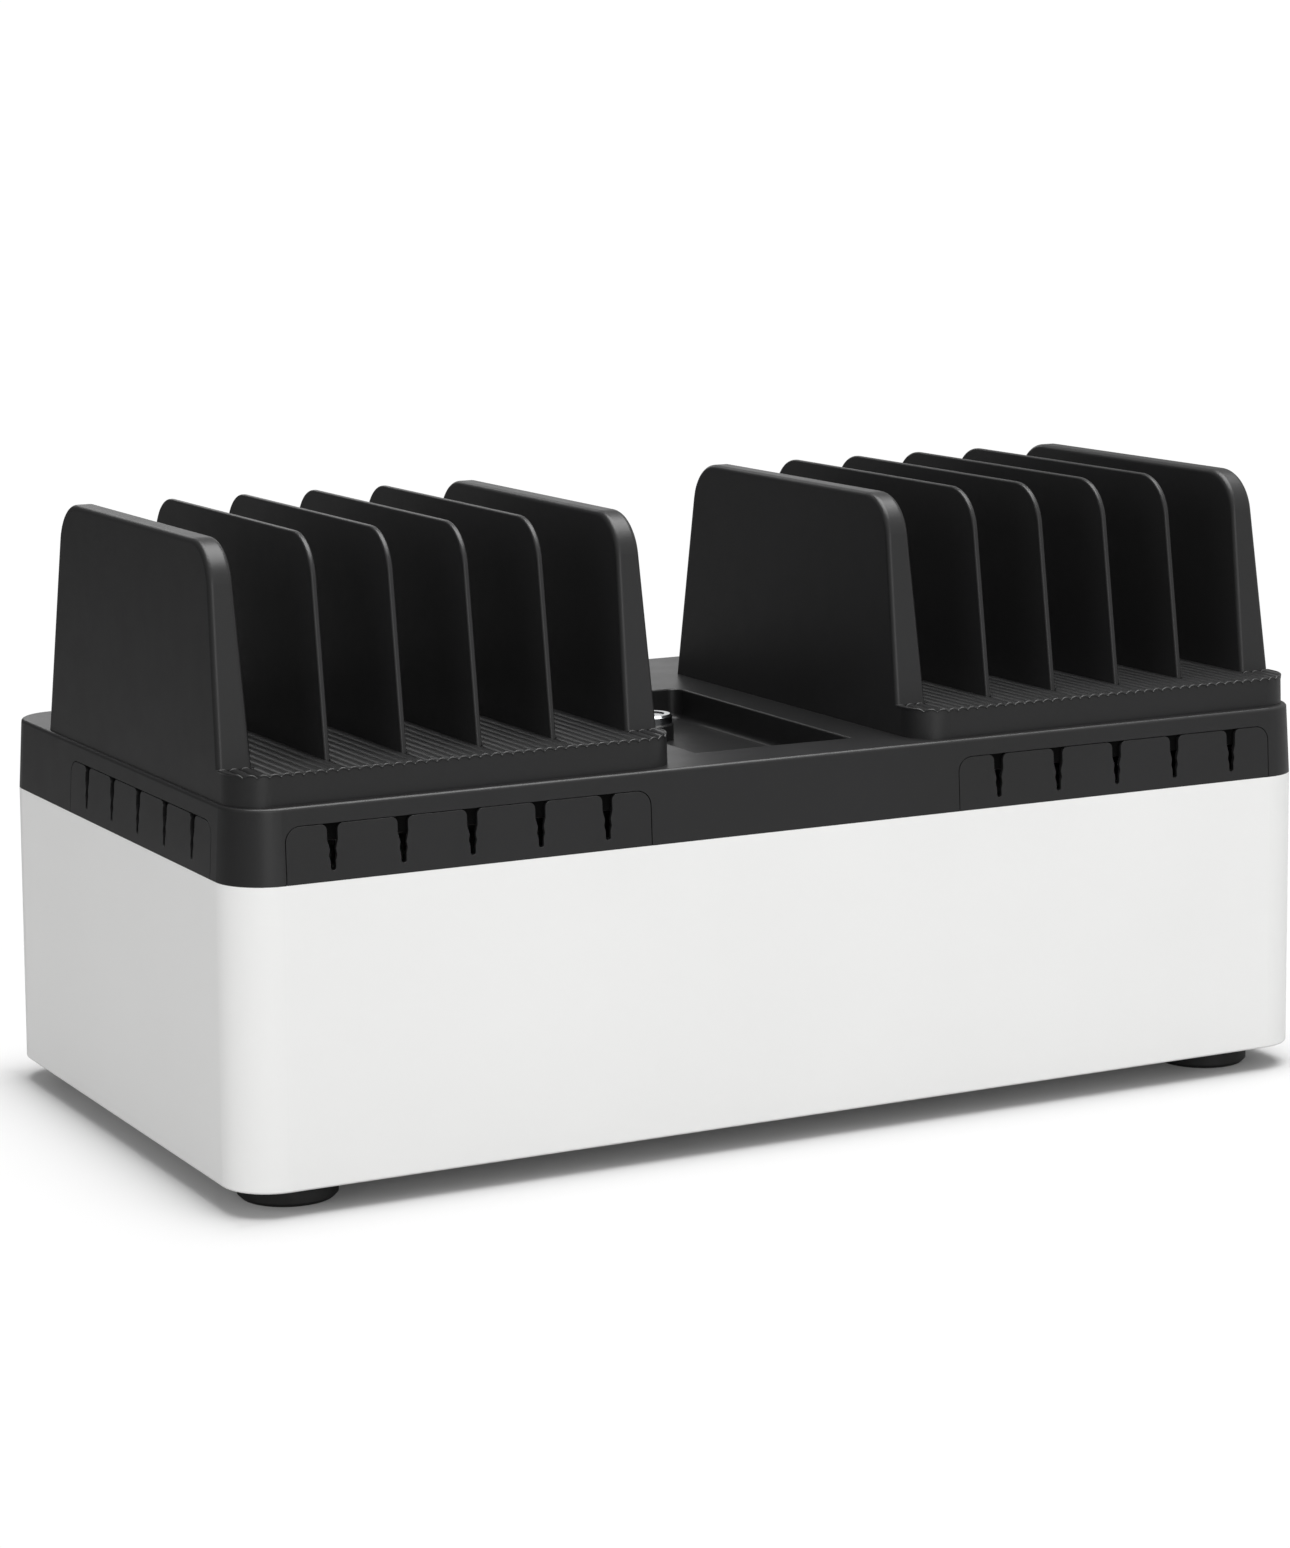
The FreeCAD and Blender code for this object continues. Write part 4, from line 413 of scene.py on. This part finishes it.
def front_edge():
    """Plan of a plinth's edge: side, quarter circle, front, quarter circle, side; then its outward turn."""
    side = np.linspace(PLATE_FRONT, PLINTH_FRONT + PLINTH_CORNER, SIDE_POINTS)[:-1]
    turn = np.linspace(0, np.pi / 2, CORNER_POINTS)
    front = np.linspace(PLINTH_CORNER - PLINTH_HALF, PLINTH_HALF - PLINTH_CORNER, FRONT_POINTS)[1:-1]
    corner_x = PLINTH_CORNER - PLINTH_HALF - PLINTH_CORNER * np.cos(turn)
    corner_y = PLINTH_FRONT + PLINTH_CORNER - PLINTH_CORNER * np.sin(turn)
    left_x = np.concatenate([np.full_like(side, -PLINTH_HALF), corner_x])
    left_y = np.concatenate([side, corner_y])
    left_angle = np.concatenate([np.zeros_like(side), turn])
    x = np.concatenate([left_x, front, -left_x[::-1]])
    y = np.concatenate([left_y, np.full_like(front, PLINTH_FRONT), left_y[::-1]])
    angle = np.concatenate([left_angle, np.full_like(front, np.pi / 2), np.pi - left_angle[::-1]])
    return x, y, np.stack([-np.cos(angle), -np.sin(angle), np.zeros_like(angle)], axis=-1)


def plate_foot(side):
    """Plan of an end plate's foot: a straight line in front of the plate, facing the front."""
    x = np.sort(side * np.linspace(PLATE_INNER, PLINTH_HALF, FOOT_POINTS))
    return x, np.full_like(x, PLATE_FRONT), np.tile([0.0, -1.0, 0.0], (x.size, 1))


print("front edge of", front_edge()[0].size, "points, plate foot of", FOOT_POINTS)

# %% [markdown]
# ## From rings to a mesh
# A bead and a strip are both a profile carried along a path: one ring of points for each step of the path.
# The same two functions turn any such grid into a closed mesh and hang it on the body that carries it.

# %% Helpers for carried profiles
UP = np.array([0.0, 0.0, 1.0])


def skin(name, rings):
    """Quads join each ring of points to the next one, and a fan around its middle closes each end."""
    count, sides = rings.shape[:2]
    points = np.concatenate([rings.reshape(-1, 3), rings[[0, -1]].mean(axis=1)]) * MM
    row, place = np.meshgrid(np.arange(count - 1) * sides, np.arange(sides), indexing="ij")
    after = (place + 1) % sides
    walls = np.stack([row + place, row + sides + place, row + sides + after, row + after], axis=-1)
    first = np.arange(sides)
    last = first + (count - 1) * sides
    start, stop = np.full(sides, count * sides), np.full(sides, count * sides + 1)
    start_cap = np.stack([start, first, np.roll(first, -1)], axis=-1)
    stop_cap = np.stack([stop, np.roll(last, -1), last], axis=-1)
    mesh = bpy.data.meshes.new(name)
    faces = walls.reshape(-1, 4).tolist() + start_cap.tolist() + stop_cap.tolist()
    mesh.from_pydata(points.tolist(), [], faces)
    mesh.shade_smooth()
    return mesh


def add_piece(name, mesh, finish, body):
    """A new object for a mesh, with its finish and the body that carries it."""
    mesh.materials.append(finish)
    piece = bpy.data.objects.new(name, mesh)
    bpy.context.collection.objects.link(piece)
    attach(piece, body)
    return piece


print("profiles stand up along", UP)

# %% [markdown]
# ## The beads themselves
# A circle stands across the edge at every point of the plan. It is sunk a little into the plinth, so that
# only its upper front shows, as on a rounded edge.

# %% Beads on both racks
RACK_CENTERS = {"left_rack": -151.4, "right_rack": 151.4}
BEAD_RADIUS = 0.5
BEAD_SINK = 0.22
BEAD_SIDES = 10


def bead_rings(center, x, y, outward):
    """Ring of edge point s: the edge, sunk inwards and down, plus radius times (outward cos t + up sin t)."""
    edge = np.stack([x + center, y, ridge_height(x)], axis=-1) - BEAD_SINK * (outward + UP)
    turn = np.linspace(0, 2 * np.pi, BEAD_SIDES, endpoint=False)[None, :, None]
    return edge[:, None] + BEAD_RADIUS * (np.cos(turn) * outward[:, None] + np.sin(turn) * UP)


for rack, center in RACK_CENTERS.items():
    plans = {"front": front_edge(), "left_foot": plate_foot(-1), "right_foot": plate_foot(1)}
    for part, plan in plans.items():
        name = rack + "_" + part + "_bead"
        bead = add_piece(name, skin(name, bead_rings(center, *plan)), black_abs, "lid")
        print(name, len(bead.data.polygons), "faces")

# %% [markdown]
# ## Dark sheets behind the combs
# A thin near-black sheet stands on the wall behind each comb. It is painted shade: it makes what shows
# through the slots read darker than the moulded plastic around it, as the shade inside the slots does. The
# sheet is one flat section, a rectangle with soft corners, carried along the comb.

# %% Dark sheets that paint the shade in the slots
STRIP_DEPTH = 3.15
STRIP_HALF_THICK = 0.1
STRIP_MIDDLE, STRIP_HALF_HEIGHT = 148.4, 3.2
STRIP_INSET = 3.0
STRIP_STEPS, STRIP_SIDES = 24, 32
SOFT_CORNER = 0.25
# Painted shade: a near-black, nearly unreflecting finish, so the sheet reads as the dark inside of each slot.
sponge = moulded_plastic(
    "cut_epdm_sponge",
    ("#070707", "#0C0C0C"),
    gloss=(0.8, 0.9),
    grit_mm=0.7,
    grit_depth_mm=0.15,
    ior=1.15,
    flow_mm=6,
)


def strip_rings(comb, outward):
    """Section at turn t: half thickness and half height times cosine and sine, raised to the corner power."""
    low, high = np.array(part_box(comb)) / MM
    along = np.cross(UP, outward)
    middle = (low + high) / 2
    middle[2] = STRIP_MIDDLE
    wall = np.abs(outward) @ np.abs(np.array(CAD_BOX[1])) / MM - STRIP_DEPTH
    middle += outward * (wall - middle @ outward)
    reach = np.abs(along @ (high - low)) / 2 - STRIP_INSET
    run = np.linspace(-reach, reach, STRIP_STEPS)[:, None, None]
    turn = np.linspace(0, 2 * np.pi, STRIP_SIDES, endpoint=False)[None, :, None]
    out = STRIP_HALF_THICK * np.sign(np.cos(turn)) * np.abs(np.cos(turn)) ** SOFT_CORNER
    rise = STRIP_HALF_HEIGHT * np.sign(np.sin(turn)) * np.abs(np.sin(turn)) ** SOFT_CORNER
    return middle + run * along + out * outward + rise * UP


for comb, facing in COMBS.items():
    name = comb.replace("comb", "sponge")
    strip = add_piece(name, skin(name, strip_rings(comb, np.array(facing))), sponge, "lid")
    print(name, [round(value, 4) for value in strip.bound_box[0]])

# %% [markdown]
# ## Studio floor
# The object stands on a plain white floor that has no edge and no horizon. The floor has two sides to it.
# What the camera sees is a glowing white far from the tub and a lit grey close to it, mixed by distance from
# the tub's plan, so the darkening near the tub is painted shade over the real shadow that the grey takes.
# What the plastic mirrors is a grey painted brighter to the front, a painted light falloff as in a studio.

# %% Floor
FLOOR_REACH = 30.0
SHADOW_FADE = 0.015
SHADOW_LIFT = 0.03
BRIGHT_SIDE = (0.5, -0.87, 0.0)
FALLOFF_REACH = 1.2
MIRRORED_GREYS = (0.15, 0.37)
FLOOR_GLOW = 1.02
TUB_HALF = [abs(value) for value in CAD_BOX[0][:2]]
floor_mesh = bpy.data.meshes.new("studio_floor")
corners = np.array([(-1, -1, 0), (1, -1, 0), (1, 1, 0), (-1, 1, 0)]) * FLOOR_REACH
floor_mesh.from_pydata(corners.tolist(), [], [(0, 1, 2, 3)])
floor = bpy.data.objects.new("studio_floor", floor_mesh)
bpy.context.collection.objects.link(floor)

floor_shading = bpy.data.materials.new("floor_with_painted_shade")
floor_shading.use_nodes = True
tree = floor_shading.node_tree
tree.nodes.clear()
place = add_node(tree, "ShaderNodeTexCoord").outputs["Object"]
# Distance from the tub's plan: how far a point lies past its half length and half depth.
folded = add_node(tree, "ShaderNodeVectorMath", {0: place}, operation="ABSOLUTE").outputs[0]
past = add_node(tree, "ShaderNodeVectorMath", {0: folded, 1: (*TUB_HALF, 0)}, operation="SUBTRACT").outputs[0]
clear = add_node(tree, "ShaderNodeVectorMath", {0: past, 1: (0, 0, 0)}, operation="MAXIMUM").outputs[0]
distance = add_node(tree, "ShaderNodeVectorMath", {0: clear}, operation="LENGTH").outputs["Value"]
# Painted shade: it halves with each fade length, and the floor turns to glowing white as it goes.
halvings = add_node(tree, "ShaderNodeMath", {0: distance, 1: SHADOW_FADE}, operation="DIVIDE")
shade = add_node(tree, "ShaderNodeMath", {0: 0.5, 1: halvings.outputs[0]}, operation="POWER").outputs[0]
whiteness = add_node(tree, "ShaderNodeMapRange", {"Value": shade, "To Min": 1.0, "To Max": SHADOW_LIFT})
lit = add_node(tree, "ShaderNodeBsdfDiffuse", {"Color": linear("#C2C2C2")}).outputs[0]
glowing = {"Color": linear("#FFFFFF"), "Strength": FLOOR_GLOW}
white = add_node(tree, "ShaderNodeEmission", glowing).outputs[0]
shown = add_node(tree, "ShaderNodeMixShader", {0: whiteness.outputs[0], 1: lit, 2: white}).outputs[0]
# What is mirrored: a painted light falloff, a grey painted brighter towards the bright side.
facing = add_node(tree, "ShaderNodeVectorMath", {0: place, 1: BRIGHT_SIDE}, operation="DOT_PRODUCT")
falloff = add_node(
    tree,
    "ShaderNodeMapRange",
    {
        "Value": facing.outputs["Value"],
        "From Min": -FALLOFF_REACH,
        "From Max": FALLOFF_REACH,
        "To Min": MIRRORED_GREYS[0],
        "To Max": MIRRORED_GREYS[1],
    },
)
mirrored = add_node(tree, "ShaderNodeBsdfDiffuse", {"Color": falloff.outputs["Result"]}).outputs[0]
seen = add_node(tree, "ShaderNodeLightPath").outputs["Is Camera Ray"]
both = add_node(tree, "ShaderNodeMixShader", {0: seen, 1: mirrored, 2: shown})
add_node(tree, "ShaderNodeOutputMaterial", {"Surface": both.outputs[0]})
floor_mesh.materials.append(floor_shading)
print("floor", 2 * FLOOR_REACH, "m, its shade halves every", SHADOW_FADE, "m")

# %% [markdown]
# ## Studio lights
# Black plastic is drawn by what it mirrors, so each light has one job. The softbox overhead puts the bright
# lines on the rounded front edges. The low panel behind is mirrored by the lid's top, and the one higher up
# by edges that run from front to back. The panel in front evens out the tub's white front. The fill far to
# the left lifts the left end, and is kept out of reflections so that the end plates stay dark.

# %% Softboxes
# Each softbox: where it stands, what it points at, its side in metres and its power in watts.
SOFTBOXES = {
    "top_softbox": ((0.25, -0.1, 2.2), (0, 0, 0.1), 2.0, 86),
    "back_panel": ((0.95, 2.6, 0.55), (0, 0, 0.15), 1.4, 4.5),
    "high_back_panel": ((0.15, 2.4, 1.3), (0, 0, 0.15), 0.8, 3),
    "front_panel": ((-0.62, -2.47, 0.55), (0, 0, 0.15), 1.0, 9),
    "side_fill": ((-4.8, -1.3, 1.9), (0, 0, 0.1), 3.0, 88),
}


def add_softbox(name, spot, aim, size, power):
    """A square area light at a spot, turned to an aim point and hidden from the camera itself."""
    light = bpy.data.lights.new(name, "AREA")
    light.size = size
    light.energy = power
    lamp = bpy.data.objects.new(name, light)
    lamp.location = spot
    lamp.rotation_euler = (Vector(aim) - Vector(spot)).to_track_quat("-Z", "Y").to_euler()
    lamp.visible_camera = False
    bpy.context.collection.objects.link(lamp)
    return lamp


lamps = {name: add_softbox(name, *setting) for name, setting in SOFTBOXES.items()}
lamps["side_fill"].visible_glossy = False
print("lights", ", ".join(lamps))

# %% [markdown]
# ## The room
# The room is a smooth gradient, brighter in front than behind, so the front of the tub reads brighter than
# its left end and each of them is even. The camera sees it as plain white.

# %% Room light
ROOM_MIDDLE, ROOM_SWING = 0.5, 0.4
ROOM_SEEN = 1.05
world = bpy.data.worlds.new("white_room")
bpy.context.scene.world = world
world.use_nodes = True
tree = world.node_tree
toward = add_node(tree, "ShaderNodeTexCoord").outputs["Generated"]
facing = add_node(tree, "ShaderNodeVectorMath", {0: toward, 1: BRIGHT_SIDE}, operation="DOT_PRODUCT")
glow = add_node(
    tree,
    "ShaderNodeMapRange",
    {
        "Value": facing.outputs["Value"],
        "From Min": -1.0,
        "From Max": 1.0,
        "To Min": ROOM_MIDDLE - ROOM_SWING,
        "To Max": ROOM_MIDDLE + ROOM_SWING,
    },
).outputs["Result"]
seen = add_node(tree, "ShaderNodeLightPath").outputs["Is Camera Ray"]
strength = add_node(tree, "ShaderNodeMapRange", {"Value": seen, "To Min": glow, "To Max": ROOM_SEEN})
room = tree.nodes["Background"]
room.inputs["Color"].default_value = linear("#FFFFFF")
tree.links.new(strength.outputs["Result"], room.inputs["Strength"])
bpy.context.scene.view_settings.view_transform = "Standard"
print("room from", round(ROOM_MIDDLE - ROOM_SWING, 2), "to", round(ROOM_MIDDLE + ROOM_SWING, 2))

# %% [markdown]
# ## Camera
# The picture was taken from the front left, a little above the lid, with a long lens. The numbers come from
# fitting a pinhole camera to straight edges of the object, so that its perspective is the picture's own.

# %% Set the camera
PICTURE_WIDTH, PICTURE_HEIGHT = 1290, 1548
FOCAL_PIXELS = 3920.8
MIDDLE_PIXEL = (560.18, 558.70)
SENSOR_MM = 36
FAR_CLIP = 200
CAMERA_SPOT = Vector((-0.79132, -1.48142, 0.43802))
AZIMUTH, ELEVATION, ROLL = (math.radians(angle) for angle in (-26.731, 7.204, -0.589))
level_reach = math.cos(ELEVATION)
back = Vector((math.sin(AZIMUTH) * level_reach, -math.cos(AZIMUTH) * level_reach, math.sin(ELEVATION)))
level = Vector((math.cos(AZIMUTH), math.sin(AZIMUTH), 0))
upright = back.cross(level)
across = math.cos(ROLL) * level + math.sin(ROLL) * upright
upward = back.cross(across)

lens = bpy.data.cameras.new("camera")
lens.sensor_width = SENSOR_MM
lens.lens = FOCAL_PIXELS / PICTURE_HEIGHT * SENSOR_MM
lens.shift_x = (PICTURE_WIDTH / 2 - MIDDLE_PIXEL[0]) / PICTURE_HEIGHT
lens.shift_y = (MIDDLE_PIXEL[1] - PICTURE_HEIGHT / 2) / PICTURE_HEIGHT
lens.clip_end = FAR_CLIP
camera = bpy.data.objects.new("camera", lens)
pose = Matrix((across, upward, back)).transposed().to_4x4()
pose.translation = CAMERA_SPOT
camera.matrix_world = pose
bpy.context.collection.objects.link(camera)
bpy.context.scene.camera = camera
print("lens", round(lens.lens, 1), "mm")
